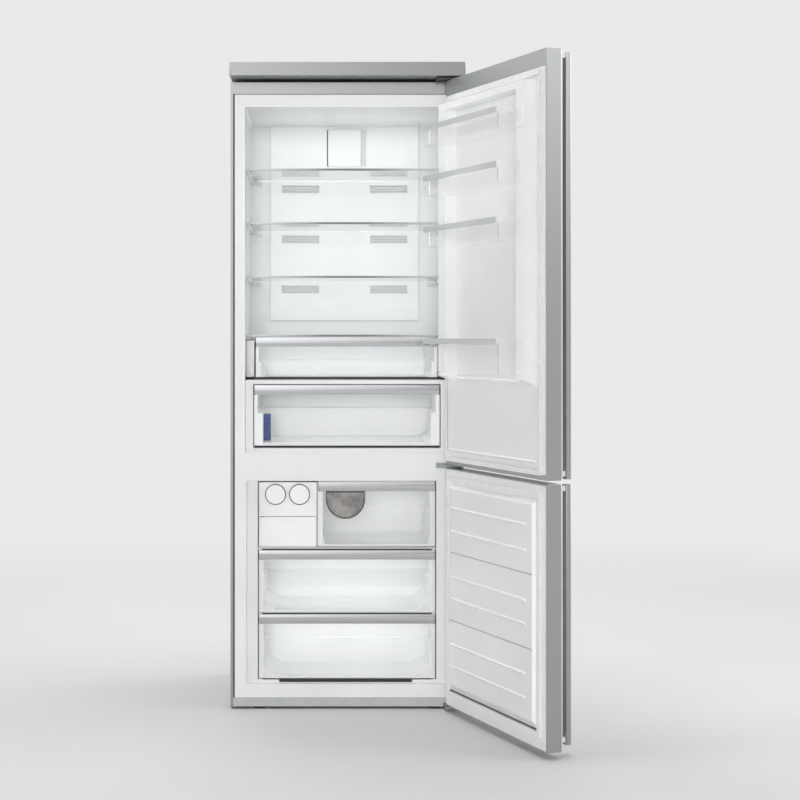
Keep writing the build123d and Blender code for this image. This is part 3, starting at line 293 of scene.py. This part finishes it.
# Grey strip: dark in the middle and lighter towards both ends, a painted sheen as if its face were bowed and turned to
# the light there.
strip = finish("grey_satin_trim_sheen", (300, 3, 3), ("94969A", "9EA0A2"), (0.3, 0.4), Metallic=1.0)
bow = strip.node_tree
spot = add(bow, "TexCoord")
apart = add(bow, "SeparateXYZ", links={"Vector": spot.outputs["Object"]})
from_middle = add(bow, "Math", links={0: apart.outputs["X"]}, operation="ABSOLUTE")
to_end = add(bow, "MapRange", {"From Min": 60 * MM, "From Max": 290 * MM}, {"Value": from_middle.outputs["Value"]})
paler = add(bow, "ValToRGB", links={"Fac": to_end.outputs["Result"]})
paler.color_ramp.elements[0].color, paler.color_ramp.elements[1].color = linear("85878A"), linear("DCDDDE")
bow.links.new(paler.outputs["Color"], bow.nodes["Principled BSDF"].inputs["Base Color"])
dress(strip, "shelf_trims", edge=0.8)
# Small grey clips hold the rear corners of the three shelves to the rear wall, a stud above the glass and a tongue
# under it.
shelf_levels, clip_depth = (1644, 1478, 1312), (223.3, 239.8)
stud, tongue = (287, 296, 3, 10), (274, 294, -18, -7)
bars("shelf_rear_clips", [(sorted((s * near, s * far)), clip_depth, (level + low, level + high))
                          for level in shelf_levels for s in (-1, 1) for near, far, low, high in (stud, tongue)],
     light_grey, "cabinet", edge=0.8)


# ---- Chill box and crispers ----
# White moulded box with a dark strip of painted shade in the gap round its opening. Two tubs of milky polystyrene
# with clear fronts and metal-look grip rails slide in it and on it. The tub walls have a ledge at half height and slope
# in below it.
dress(white, "chill_box", edge=1.5)
shade_middle, shade_depth = 283.8, (-284, -279)
# Dark strips of painted shade lie in the gap round the opening of the chill box.
bars("chill_box_gap_shade", [((s * shade_middle - 1, s * shade_middle + 1), shade_depth, (792, 982)) for s in (-1, 1)] +
     [((-284, 284), shade_depth, (980.4, 982.6)), ((-283, 283), (-286.8, -285.8), (788.2, 789.9))], gap_shade, "cabinet",
     edge=0.3)
# Milky polystyrene: white tub walls with a soft gloss.
milky = finish("milky_polystyrene", (120, 120, 120), ("E9EAEA", "EEEFEF"), (0.2, 0.28), 0.02, 1.0)
# Clear polystyrene: the see-through fronts.
clear = finish("clear_polystyrene", (60, 60, 60), ("E4E8E9", "EDF0F1"), (0.08, 0.14), 0.02, Alpha=0.05)


def tub(name, rings, wall, body, floor=2.5):
    """A tub lofted through rectangular rings (Z, left, right, front, rear, in mm).

    Its walls are milky and its front wall is clear. The ledge inside, between the second and third ring, is painted
    highlight.
    """
    mesh = bmesh.new()
    milky_wall, clear_front, ledge_highlight = range(3)

    def loop(z, left, right, front, rear):
        rear_corner, front_corner, turns = 6.0, 1.5, 4
        spots = []
        for cx, cy, start in ((right, front, -90), (right, rear, 0), (left, rear, 90), (left, front, 180)):
            r = rear_corner if cy == rear else front_corner
            ox, oy = cx - r * (1 if cx == right else -1), cy - r * (1 if cy == rear else -1)
            for i in range(turns + 1):
                a = radians(start + 90 * i / turns)
                spots.append(mesh.verts.new(Vector((ox + r * cos(a), oy + r * sin(a), z)) * MM))
        return spots

    outer = [loop(*ring) for ring in rings]
    inner = [loop(max(z, rings[-1][0] + floor), a + wall, b - wall, c + wall, d - wall) for z, a, b, c, d in rings]
    chain = outer[::-1] + inner
    for low, high in zip(chain[:len(rings)], chain[1:len(rings)]):
        for i in range(len(low)):
            mesh.faces.new((low[i], low[i - 1], high[i - 1], high[i]))
    for low, high in zip(inner, inner[1:]):
        for i in range(len(low)):
            side = mesh.faces.new((low[i], low[i - 1], high[i - 1], high[i]))
            side.material_index = ledge_highlight if low is inner[1] else milky_wall
    for i in range(len(outer[0])):
        mesh.faces.new((outer[0][i], outer[0][i - 1], inner[0][i - 1], inner[0][i]))
    mesh.faces.new(outer[-1])
    mesh.faces.new(inner[-1])
    slack = 0.5
    front_back = (min(ring[3] for ring in rings) + wall + slack) * MM
    for face in mesh.faces:
        if all(v.co.y < front_back for v in face.verts):
            face.material_index = clear_front
    return piece(name, mesh, [milky, clear, bright], body)


def stepped_rings(top, bottom, ledge, left, right, front, rear, insets, floor_rear):
    """Rings of a tub whose walls step in at a ledge and slope in to a floor inset from the left and right."""
    step, slope, rise, run, ledge_fall, floor_fall, floor_edge = 9, 5, 30, 16, 5, 2, 1
    foot = step + slope
    foot_rear = max(floor_rear, min(rear - foot, floor_rear + run))
    return [(top, left, right, front, rear), (ledge + ledge_fall, left, right, front, rear),
            (ledge, left + step, right - step, front, rear - step),
            (bottom + rise, left + foot, right - foot, front, foot_rear),
            (bottom + floor_fall, left + insets[0], right - insets[1], front, floor_rear),
            (bottom, left + insets[0] + floor_edge, right - insets[1] - floor_edge, front, floor_rear - floor_edge)]


def prism(mesh, outline, near, far):
    """Add a flat plate to a mesh: a closed outline of X, Z points between two Y planes, in mm."""
    ends = [[mesh.verts.new(Vector((x, y, z)) * MM) for x, z in outline] for y in (near, far)]
    for end in ends:
        mesh.faces.new(end)
    for i in range(len(outline)):
        mesh.faces.new((ends[0][i - 1], ends[0][i], ends[1][i], ends[1][i - 1]))


def gussets(name, bottom, left, right, front, insets, body, floor=2.5):
    """White plates behind the lower corners of a tub's front that cover the ends of its sloping walls."""
    inset, rise, back, thick, wall = 13, 31, 3, 2, 4
    mesh = bmesh.new()
    for side, way, floor_inset in ((left, 1, insets[0]), (right, -1, insets[1])):
        outline = [(side + way * inset, bottom + 1), (side + way * (floor_inset + wall), bottom + 1),
                   (side + way * (floor_inset + wall), bottom + floor + 1),
                   (side + way * (inset + wall), bottom + rise), (side + way * inset, bottom + rise)]
        prism(mesh, outline, front + back, front + back + thick)
    return piece(name, mesh, [milky], body)


tub_wall, lower_floor = 1.2, 14
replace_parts(tub("upper_crisper_tub", stepped_rings(1124, 1001, 1049, -280, 280, -202, 133, (26, 26), 118), tub_wall,
                "upper_crisper_set"), "upper_crisper")
# The left wall of the lower tub is steeper, because the cartridge stands at its foot.
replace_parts(tub("lower_crisper_tub", stepped_rings(979, 790.3, 894, -282, 282, -282, 148, (24, 42), 132), tub_wall,
                "lower_crisper_set", lower_floor), "lower_crisper")
# White stiles frame the clear fronts, wide below the ledge and narrow above it.
stile_proud, stile_bite, narrow = 2.5, 0.2, 10
for level, half, wide, face, bottom, ledge, top in (("upper", 280, 17, -202, 1002, 1050, 1095),
                                                    ("lower", 282, 26, -282, 796, 895, 950)):
    stile_depth = (face - stile_proud, face + stile_bite)
    bars(level + "_crisper_stiles", [(sorted((s * half, s * (half - width))), stile_depth, (low, high)) for s in (-1, 1)
                                     for width, low, high in ((wide, bottom, ledge), (narrow, ledge, top))],
         bright, level + "_crisper_set", edge=0.4)
gussets("upper_crisper_gussets", 1001, -280, 280, -202, (26, 26), "upper_crisper_set")
gussets("lower_crisper_gussets", 790.3, -282, 282, -282, (24, 42), "lower_crisper_set", lower_floor)


def bowed_rail(node, body):
    """A grip rail with a gently bowed face, in the place of its CAD piece."""
    (left, face, low), (right, rear, high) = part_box(node)
    bow, steps = 1.0 * MM, 16
    profile = [(face + bow * (2 * i / steps - 1) ** 2, low + (high - low) * i / steps) for i in range(steps + 1)]
    profile += [(rear, high), (rear, low)]
    mesh = bmesh.new()
    ends = [[mesh.verts.new((x, y, z)) for y, z in profile] for x in (left, right)]
    for i in range(len(profile)):
        mesh.faces.new((ends[0][i - 1], ends[0][i], ends[1][i], ends[1][i - 1]))
    for end in ends:
        mesh.faces.new(end)
    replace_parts(piece(node + "_bowed", mesh, [satin], body), node)


for level in ("upper", "lower"):
    bowed_rail(level + "_crisper_rail", level + "_crisper_set")
# The upper tub runs between white side guides on two skids. Dark strips of painted shade lie in the gaps under both
# tubs, and a white sill stiffens the foot of the lower one.
bars("crisper_side_guides", [(sorted((s * 284.5, s * 309.6)), (-199, 120), (1003, 1115)) for s in (-1, 1)], white,
     "cabinet", edge=2.0)
bars("upper_crisper_foot_shade", [((-286, 286), (-207, -202.3), (995.8, 1002.4))], gap_shade, "upper_crisper_set",
     edge=0.8)
skid_middle, skid_half = 258, 8
bars("upper_crisper_skids", [((s * skid_middle - skid_half, s * skid_middle + skid_half), (-202, 100), (995.4, 1001.3))
                             for s in (-1, 1)], milky, "upper_crisper_set", edge=1.0)
bars("lower_crisper_sill", [((-262, 246), (-281.7, -279.9), (791, 804.6))], milky, "lower_crisper_set",
     edge=0.4)
bars("lower_crisper_foot_shade", [((-281.5, 281.5), (-284.3, -281.8), (790.6, 795.4))], black_shade, "lower_crisper_set",
     edge=0.8)
# Blue plastic: the replaceable freshness cartridge, satin.
blue = finish("blue_plastic", (10, 10, 10), ("003078", "04408C"), (0.5, 0.6), 0.03, Specular_IOR_Level=0.3)
dress(blue, "freshness_cartridge", edge=3.0)


# ---- Freezer shelf, ice maker and drawers ----
# White moulded shelf with a metal-look front edge. The ice maker has a white frame, two twist knobs with a dark grey
# ring of painted shade in the joint round each and a bin below. The drawers are milky tubs like the crispers, with
# white front stiles and grip rails.
dress(white, "freezer_shelf", edge=0.6)
bars("freezer_shelf_edge", [((-270.5, 270.5), (-290.5, -288), (481.8, 488))], satin, "cabinet", edge=0.8)
# Dark strips of painted shade lie in the gaps above the two lower drawers. A white filler closes the joint beside the
# ice maker, with a thin dark line of painted shade in it.
bars("drawer_gap_shade", [((-268, 268), (-287.5, -283.5), (477, 481.5)), ((-268, 268), (-284, -281), (282, 287))],
     gap_shade, "cabinet", edge=0.5)
bars("ice_maker_joint", [((-93, -88.4), (-281.5, -278), (489, 684))], white, "cabinet", edge=0.3)
bars("ice_maker_joint_shade", [((-91.6, -90.2), (-282.4, -281), (489, 684))], gap_shade, "cabinet", edge=0.2)
dress(bright, "ice_maker_frame", "ice_bin", "ice_tray_left", "ice_tray_right", edge=0.8)
ice_bin_sides = (-267.6, -94)
bars("ice_bin_front", [(ice_bin_sides, (-284.6, -282), (489.3, 577))], bright, "ice_bin_set", edge=0.8)


def band(name, outline, width, low, high, material, body):
    """A flat band of even width inside a closed outline of X, Z points, between two Y planes, in mm."""
    count = len(outline)
    inside = []
    for i, (x, z) in enumerate(outline):
        (ax, az), (bx, bz) = outline[i - 1], outline[(i + 1) % count]
        along = Vector((bx - ax, bz - az)).normalized()
        inside.append((x - along.y * width, z + along.x * width))
    mesh = bmesh.new()
    loops = [[mesh.verts.new(Vector((x, y, z)) * MM) for x, z in spots]
             for spots, y in ((outline, low), (inside, low), (inside, high), (outline, high))]
    for a, b in zip(loops, loops[1:] + loops[:1]):
        for i in range(count):
            mesh.faces.new((a[i - 1], a[i], b[i], b[i - 1]))
    return piece(name, mesh, [material], body)


# Dark grey ring round each knob, dull: painted shade of the joint round it.
knob_ring_shade = finish("knob_joint_shade", (5, 5, 5), ("5C5D5F", "68696B"), (0.5, 0.6), 0.02)
knob_radius, knob_height, knob_sides, ring_width, ring_face, ring_back = 32, 647, 64, 3.0, -288.0, -284.0
for side, x in (("left", -217.25), ("right", -144.25)):
    angles = [2 * pi * i / knob_sides for i in range(knob_sides)]
    circle = [(x + knob_radius * cos(a), knob_height + knob_radius * sin(a)) for a in angles]
    band("knob_joint_shade_" + side, circle, ring_width, ring_face, ring_back, knob_ring_shade, "ice_twist_" + side)
# A rounded lip runs along the top of the ice bin's front.
bars("ice_bin_lip", [(ice_bin_sides, (-286, -282), (568, 579))], bright, "ice_bin_set", edge=1.4)

# Each drawer has its own heights, sides and rear. Its floor is narrower and ends further forward.
drawers = (("top", 684, 488.3, 575, -88, 268.5, 150, 20, 142), ("middle", 476, 288, 365, -268.5, 268.5, 150, 46, 63),
           ("bottom", 281, 87, 168, -268.5, 268.5, -2, 68, -14))
drawer_face, stile_depth, stile_width, rail_room, sill_high = -282, (-284.5, -281.8), 15, 28, 7
for level, top, bottom, ledge, left, right, rear, inset, floor_rear in drawers:
    rings = stepped_rings(top, bottom, ledge, left, right, drawer_face, rear, (inset, inset), floor_rear)
    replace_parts(tub(level + "_drawer_tub", rings, tub_wall, level + "_drawer_set"), level + "_drawer")
    gussets(level + "_drawer_gussets", bottom, left, right, drawer_face, (inset, inset), level + "_drawer_set")
    stile_heights, inner = (bottom + 1, top - rail_room), stile_width - 1
    bars(level + "_drawer_stiles", [((left, left + stile_width), stile_depth, stile_heights),
                                    ((right - stile_width, right), stile_depth, stile_heights),
                                    ((left + inner, right - inner), stile_depth, (bottom + 1, bottom + sill_high))],
         white, level + "_drawer_set", edge=1.0)
    bowed_rail(level + "_drawer_rail", level + "_drawer_set")
# Smoked plastic: the half-round pull of the top drawer, brownish grey and see-through, glossy, with a darker rim.
smoked = finish("smoked_plastic", (30, 30, 30), ("686462", "A4A09C"), (0.1, 0.16), 0.02, 1.0, Alpha=0.74)
rim_smoke = finish("smoked_rim", (12, 12, 12), ("454240", "524F4C"), (0.15, 0.25), 0.02)
pull_mid, pull_half, pull_low, pull_top, pull_sides, rim_width = -4.5, 59.5, 573, 656.8, 40, 4.0
angles = [pi * i / pull_sides for i in range(pull_sides + 1)]
arc = [(pull_mid - pull_half * cos(a), pull_low + pull_half * (1 - sin(a))) for a in angles]
band("pull_rim", [(pull_mid + pull_half, pull_top), (pull_mid - pull_half, pull_top)] + arc, rim_width, -287.2, -285.2,
     rim_smoke, "top_drawer_set")
dress(smoked, "drawer_pull", edge=0.6)


# ---- Hinges and screws ----
# Three brackets with pins carry the doors: one on top, one between the doors and one below. They are bent from
# zinc-plated steel and fixed with steel screws.
dress(galvanised, "hinge_brackets", edge=0.6)
# Bright zinc-plated screws.
plated = finish("plated_screw_steel", (4, 4, 4), ("A7A9AA", "BDBEBF"), (0.3, 0.42), 0.02, Metallic=1.0)
dress(plated, "fasteners")
# A bright cap covers the root of the middle bracket.
bars("middle_hinge_cap", [((268, 303), (-318, -312.8), (730, 745.5))], plated, "cabinet", edge=1.5)
# The top bracket and its screws, in the shadow gap, are painted charcoal as painted shade. The flange and screws on the
# white bar are painted white.
gap_foot, bar_foot, bar_top, flange_face = 1800 * MM, 700 * MM, 760 * MM, -313.5 * MM
for name, head in (("hinge_brackets", 0.0), ("fasteners", 4 * MM)):
    node = frame["nodes"][name]
    node.data.materials.append(charcoal)
    node.data.materials.append(white)
    for face in node.data.polygons:
        if face.center.z > gap_foot:
            face.material_index = 1
        elif bar_foot < face.center.z < bar_top and flange_face < face.center.y + head:
            face.material_index = 2


# ---- Doors ----
# Folded stainless pans with white formed inner faces, white magnetic seals and bar handles on two posts. Both hang
# on the right and stand open.
dress(steel_upright, "upper_door_skin", "lower_door_skin", edge=0.8)
dress(white, "upper_door_liner", "lower_door_liner", edge=1.2)
swing = next(j for j in frame["joints"] if j["name"] == "upper_door_swing")
turn, hinge = radians(-swing["range_deg"][0]), Vector(swing["pos_m"][:2] + [0.0])
across, inward = Vector((-cos(turn), -sin(turn), 0.0)), Vector((-sin(turn), cos(turn), 0.0))
hinge_inset, hinge_depth = 18 * MM, 30 * MM
corner = hinge - across * hinge_inset + inward * hinge_depth
# Door sizes run across the door from its hinge edge, inward from its rim, and up.
on_door = Matrix.Translation(corner) @ Matrix((across, inward, (0.0, 0.0, 1.0))).transposed().to_4x4()
# A dark strip of painted shade lies in the groove under the panel of the lower door.
bars("lower_door_groove_shade", [((40, 655), (1.5, 4), (69.4, 73.6))], gap_shade, "lower_door", edge=0.5,
     place=on_door)
# Grey lines of painted shade lie in the two grooves that part the panel into fields.
bars("lower_door_field_shade", [((58, 634), (11.4, 12.6), (level - 1.8, level + 1.4)) for level in (486, 284)], grey,
     "lower_door", edge=0.3, place=on_door)
# A grey line of painted shade edges the panel of the upper door on its hinge side.
bars("upper_door_panel_shade", [((35.8, 37.4), (8.5, 11.8), (790, 998))], grey, "upper_door", edge=0.4,
     place=on_door)
# On the door liners the up-facing slopes, the down-facing faces, the tall ridges and the sides near the free edge are
# painted a little whiter: painted light.
painted_light_white = finish("white_polystyrene_painted_light", (60, 60, 60), ("F6F7F7", "F9FAFA"), (0.2, 0.26), 0.01, 1.0)
free_edge, slope_depth, ridge_depth, side_depth = 590 * MM, 5 * MM, 40 * MM, 3 * MM
for node in (frame["nodes"]["upper_door_liner"], frame["nodes"]["lower_door_liner"]):
    node.data.materials.append(painted_light_white)
    for face in node.data.polygons:
        along, depth, _ = on_door.inverted() @ face.center
        on_slope = 0.3 < face.normal.z < 0.95 and depth > slope_depth
        on_side = face.normal.z < -0.9 or (face.normal.dot(across) > 0.3 and along > free_edge)
        face.material_index = int(on_slope or depth > ridge_depth or (on_side and depth > side_depth))
# A bright strip along the top of the upper door's panel is a painted highlight.
bars("upper_door_panel_ledge_highlight", [((100.5, 599.5), (8.5, 16), (1001, 1010))], painted_light_white, "upper_door",
     edge=3.2, place=on_door)
# The folded rims of the pans are brushed along the fold, so they mirror softly.
steel_fold = finish("brushed_stainless_fold", (4, 4, 4), ("A2A4A5", "A8A9AA"), (0.42, 0.5), Metallic=0.8)
for node in (frame["nodes"]["upper_door_skin"], frame["nodes"]["lower_door_skin"]):
    node.data.materials.append(steel_fold)
    for face in node.data.polygons:
        if face.normal.dot(inward) > 0.9:
            face.material_index = 1
dress(steel_upright, "upper_door_handle", "lower_door_handle", edge=3.5)
# Bright cast aluminium: the posts of the handles, pale and softly shining.
cast = finish("bright_cast_aluminium", (20, 20, 20), ("E2E3E4", "ECEDED"), (0.3, 0.4), 0.01, Metallic=0.35)
bar_back = -73.9 * MM
for node in (frame["nodes"]["upper_door_handle"], frame["nodes"]["lower_door_handle"]):
    node.data.materials.append(cast)
    for face in node.data.polygons:
        if (on_door.inverted() @ face.center).y > bar_back:
            face.material_index = 1
# Seal: white soft vinyl, dull.
vinyl = finish("white_vinyl", (40, 40, 40), ("E2E3E3", "E8E9E9"), (0.45, 0.55), 0.01)
dress(vinyl, "upper_door_gasket", "lower_door_gasket")


# ---- Door bins ----
# Three shallow bins and a deep one for bottles, moulded from clear plastic and hooked behind the upright ridges of the
# door. Metal-look strips are pressed on their fronts.
# Clear moulded plastic: faintly white, glossy, and lamps shine through it. The rims and floors are painted whiter and
# less clear than the walls: a painted sheen.
bin_wall = finish("clear_moulded_plastic", (80, 80, 80), ("F4F6F6", "FAFBFB"), (0.05, 0.1), Alpha=0.09)
bin_flat_sheen = finish("clear_moulded_painted_sheen", (80, 80, 80), ("F6F8F8", "FCFDFD"), (0.08, 0.14), Alpha=0.45)
dress(bin_wall, "door_bins", "bottle_bin")
for node in (frame["nodes"]["door_bins"], frame["nodes"]["bottle_bin"]):
    node.data.materials.append(bin_flat_sheen)
    node.visible_shadow = node.visible_diffuse = False
    # The bins stand a fifth of a millimetre clear of the ribs that they rest on.
    weld(node)
    clear_of_ribs = node.modifiers.new("clear_of_ribs", "DISPLACE")
    clear_of_ribs.strength, clear_of_ribs.mid_level = -0.2 * MM, 0.0
    # The rims and floors, the faces that lie flat, take the painted sheen.
    for face in node.data.polygons:
        face.material_index = int(abs(face.normal.z) > 0.6)
# Upright ribs stiffen the front corners of the bins. Those by the free edge are painted greyer, as painted shade. Those
# by the hinge are painted white, as a painted highlight.
bin_rib_shade = finish("clear_moulded_rib_shade", (80, 80, 80), ("C6CACB", "D4D7D8"), (0.08, 0.14), Alpha=0.4)
corner_depth = (105, 107.4)
shallow = [(level + 1, level + 40.5) for level in (1689, 1542, 1392)]
deep = (1025, 1104.5)
bars("bin_free_side_rib_shade", [((620, 623), corner_depth, heights) for heights in shallow + [deep]], bin_rib_shade, "upper_door",
     edge=0.5, place=on_door)
bars("bin_hinge_side_rib_highlights", [((128, 131), corner_depth, heights) for heights in shallow], bright, "upper_door",
     edge=0.5, place=on_door)
# Silver lacquer: pale metal-look strips on the bins.
silver = finish("silver_lacquer", (200, 4, 4), ("C9CACB", "D2D3D4"), (0.25, 0.35), Metallic=0.4)
dress(silver, "door_bin_rails", edge=0.6)


# ---- Floor, light and camera ----
# Pale floor, soft light from all round and large softboxes in front, overhead and at the sides. The camera looks
# straight at the cabinet from the front, a little left of its middle.
floor_mesh, floor_half = bmesh.new(), 20.0
bmesh.ops.create_grid(floor_mesh, x_segments=24, y_segments=24, size=floor_half)
floor_data = bpy.data.meshes.new("floor")
floor_mesh.to_mesh(floor_data)
floor_mesh.free()
floor = bpy.data.objects.new("floor", floor_data)
bpy.context.scene.collection.objects.link(floor)
# Floor coating: pale, dull, faintly cloudy. From 1.2 to 5 m away it fades into the pale background.
coating = finish("pale_floor_coating", (900, 900, 900), ("D0D0CF", "D5D5D4"), (0.75, 0.85))
ground = coating.node_tree
spot = add(ground, "TexCoord")
reach = add(ground, "VectorMath", links={0: spot.outputs["Object"]}, operation="LENGTH")
fade = add(ground, "MapRange", {"From Min": 1.2, "From Max": 5.0}, {"Value": reach.outputs["Value"]},
           interpolation_type="SMOOTHSTEP")
rays = add(ground, "LightPath")
seen = add(ground, "Math", links={0: rays.outputs["Is Camera Ray"], 1: rays.outputs["Is Glossy Ray"]},
           operation="MAXIMUM")
far = add(ground, "Math", links={0: fade.outputs["Result"], 1: seen.outputs["Value"]}, operation="MULTIPLY")
glow = add(ground, "Emission", {"Color": linear("E9EAEB"), "Strength": 1.0})
blend = add(ground, "MixShader", links={0: far.outputs["Value"], 1: ground.nodes["Principled BSDF"].outputs["BSDF"],
                                        2: glow.outputs["Emission"]})
ground.links.new(blend.outputs["Shader"], ground.nodes["Material Output"].inputs["Surface"])
floor_data.materials.append(coating)

world = bpy.data.worlds.new("studio")
bpy.context.scene.world = world
world.use_nodes = True
sky = world.node_tree
# Diffuse light from all round, weak, so that the rooms are lit as brightly as the front.
soft = sky.nodes["Background"]
soft.inputs["Color"].default_value, soft.inputs["Strength"].default_value = linear("F4F6F8"), 0.12
# What metal and glass mirror: a studio that is brighter towards the left and overhead.
ways = add(sky, "TexCoord")
way = add(sky, "SeparateXYZ", links={"Vector": ways.outputs["Generated"]})
height = add(sky, "MapRange", {"From Min": 0.0, "From Max": 0.16, "To Min": 0.0, "To Max": 0.36},
             {"Value": way.outputs["Z"]})
side = add(sky, "MapRange", {"From Min": 0.07, "From Max": -0.07, "To Min": 0.44, "To Max": 1.7},
           {"Value": way.outputs["X"]})
level = add(sky, "Math", links={0: height.outputs["Result"], 1: side.outputs["Result"]}, operation="ADD")
# A pale panel high on the right gives the door edges their sheen.
rightward = add(sky, "MapRange", {"From Min": 0.3, "From Max": 0.6}, {"Value": way.outputs["X"]})
upward = add(sky, "MapRange", {"From Min": 0.04, "From Max": 0.34, "To Max": 2.1}, {"Value": way.outputs["Z"]})
panel = add(sky, "Math", links={0: rightward.outputs["Result"], 1: upward.outputs["Result"]}, operation="MULTIPLY")
level = add(sky, "Math", links={0: level.outputs["Value"], 1: panel.outputs["Value"]}, operation="ADD")
# Behind the object the studio is darker, with a bright panel at the right that lights up the outer edges.
behind = add(sky, "MapRange", {"From Min": 0.35, "From Max": 0.65, "To Min": 1.0, "To Max": 0.55},
             {"Value": way.outputs["Y"]})
level = add(sky, "Math", links={0: level.outputs["Value"], 1: behind.outputs["Result"]}, operation="MULTIPLY")
edge_side = add(sky, "MapRange", {"From Min": 0.5, "From Max": 0.65}, {"Value": way.outputs["X"]})
edge_rear = add(sky, "MapRange", {"From Min": 0.3, "From Max": 0.5, "To Max": 1.8}, {"Value": way.outputs["Y"]})
edge_panel = add(sky, "Math", links={0: edge_side.outputs["Result"], 1: edge_rear.outputs["Result"]},
                 operation="MULTIPLY")
level = add(sky, "Math", links={0: level.outputs["Value"], 1: edge_panel.outputs["Value"]}, operation="ADD")
mirrored = add(sky, "Background", {"Color": linear("FDFDFD")}, {"Strength": level.outputs["Value"]})
shown = add(sky, "Background", {"Color": linear("E9EAEB"), "Strength": 1.0})
rays = add(sky, "LightPath")
by_gloss = add(sky, "MixShader", links={0: rays.outputs["Is Glossy Ray"], 1: soft.outputs[0], 2: mirrored.outputs[0]})
seen = add(sky, "Math", links={0: rays.outputs["Is Camera Ray"], 1: rays.outputs["Is Transmission Ray"]},
           operation="MAXIMUM")
mix = add(sky, "MixShader", links={0: seen.outputs["Value"], 1: by_gloss.outputs[0], 2: shown.outputs[0]})
sky.links.new(mix.outputs[0], sky.nodes["World Output"].inputs["Surface"])

# Softboxes light the outside. Weak lamps in the rooms, the tubs and under the top edge stand for the light that the
# white walls pass on, and none of them shows. Place, aim, width and height are in m, the power is in W.
for name, spot, aim, wide, high, power in (
        ("softbox_front", (-0.8, -18.0, 2.4), (0.0, 0.0, 1.0), 3.6, 3.0, 1300),
        ("softbox_left", (-6.0, -2.4, 2.4), (0.3, -0.5, 1.0), 2.4, 3.0, 90),
        ("softbox_low", (-1.2, -4.6, 0.12), (0.1, 0.0, 1.5), 4.0, 1.6, 18),
        ("softbox_right", (5.2, -1.5, 2.4), (0.2, -0.4, 1.0), 2.4, 3.0, 70),
        ("softbox_rear", (-0.8, 6.5, 2.6), (0.0, 0.0, 1.0), 4.0, 3.0, 120),
        ("softbox_top", (0.2, 0.4, 5.2), (0.2, 0.1, 0.0), 4.0, 4.0, 270),
        ("top_edge_lamp", (0.0, -0.85, 1.5), (0.0, -0.32, 1.88), 0.6, 0.2, 0.5),
        ("fridge_room_lamp", (0.0, -0.17, 1.36), (0.0, 0.2, 1.34), 0.58, 0.62, 0.82),
        ("upper_crisper_lamp", (0.0, -0.04, 1.1235), (0.0, -0.039, 1.0), 0.5, 0.28, 0.13),
        ("fridge_ceiling_lamp", (0.0, -0.04, 1.655), (0.0, -0.03, 1.8), 0.5, 0.4, 0.26),
        ("lower_crisper_lamp", (0.0, -0.14, 0.981), (0.0, -0.139, 0.8), 0.5, 0.24, 0.4),
        ("top_drawer_lamp", (0.09, -0.07, 0.686), (0.09, -0.069, 0.5), 0.32, 0.36, 0.22),
        ("middle_drawer_lamp", (0.0, -0.1, 0.479), (0.0, -0.099, 0.3), 0.48, 0.32, 0.44),
        ("bottom_drawer_lamp", (0.0, -0.14, 0.2845), (0.0, -0.139, 0.1), 0.48, 0.24, 0.3)):
    lamp = bpy.data.lights.new(name, "AREA")
    lamp.shape, lamp.size, lamp.size_y, lamp.energy = "RECTANGLE", wide, high, power
    holder = bpy.data.objects.new(name, lamp)
    holder.location = spot
    holder.rotation_euler = (Vector(aim) - Vector(spot)).to_track_quat("-Z", "Y").to_euler()
    holder.visible_camera = holder.visible_glossy = False
    bpy.context.scene.collection.objects.link(holder)

# The camera stands six metres away, a little above half height, and looks level. The lens shift sets the object in
# the frame.
lens = bpy.data.cameras.new("camera")
lens.sensor_width, lens.lens = 36.0, 85.2
lens.shift_x, lens.shift_y = 0.1025, -0.0794
camera = bpy.data.objects.new("camera", lens)
camera.location = (-0.088, -6.044, 1.1275)
camera.rotation_euler = (pi / 2, 0.0, 0.0)
bpy.context.scene.collection.objects.link(camera)
bpy.context.scene.camera = camera
bpy.context.scene.view_settings.view_transform = "Standard"
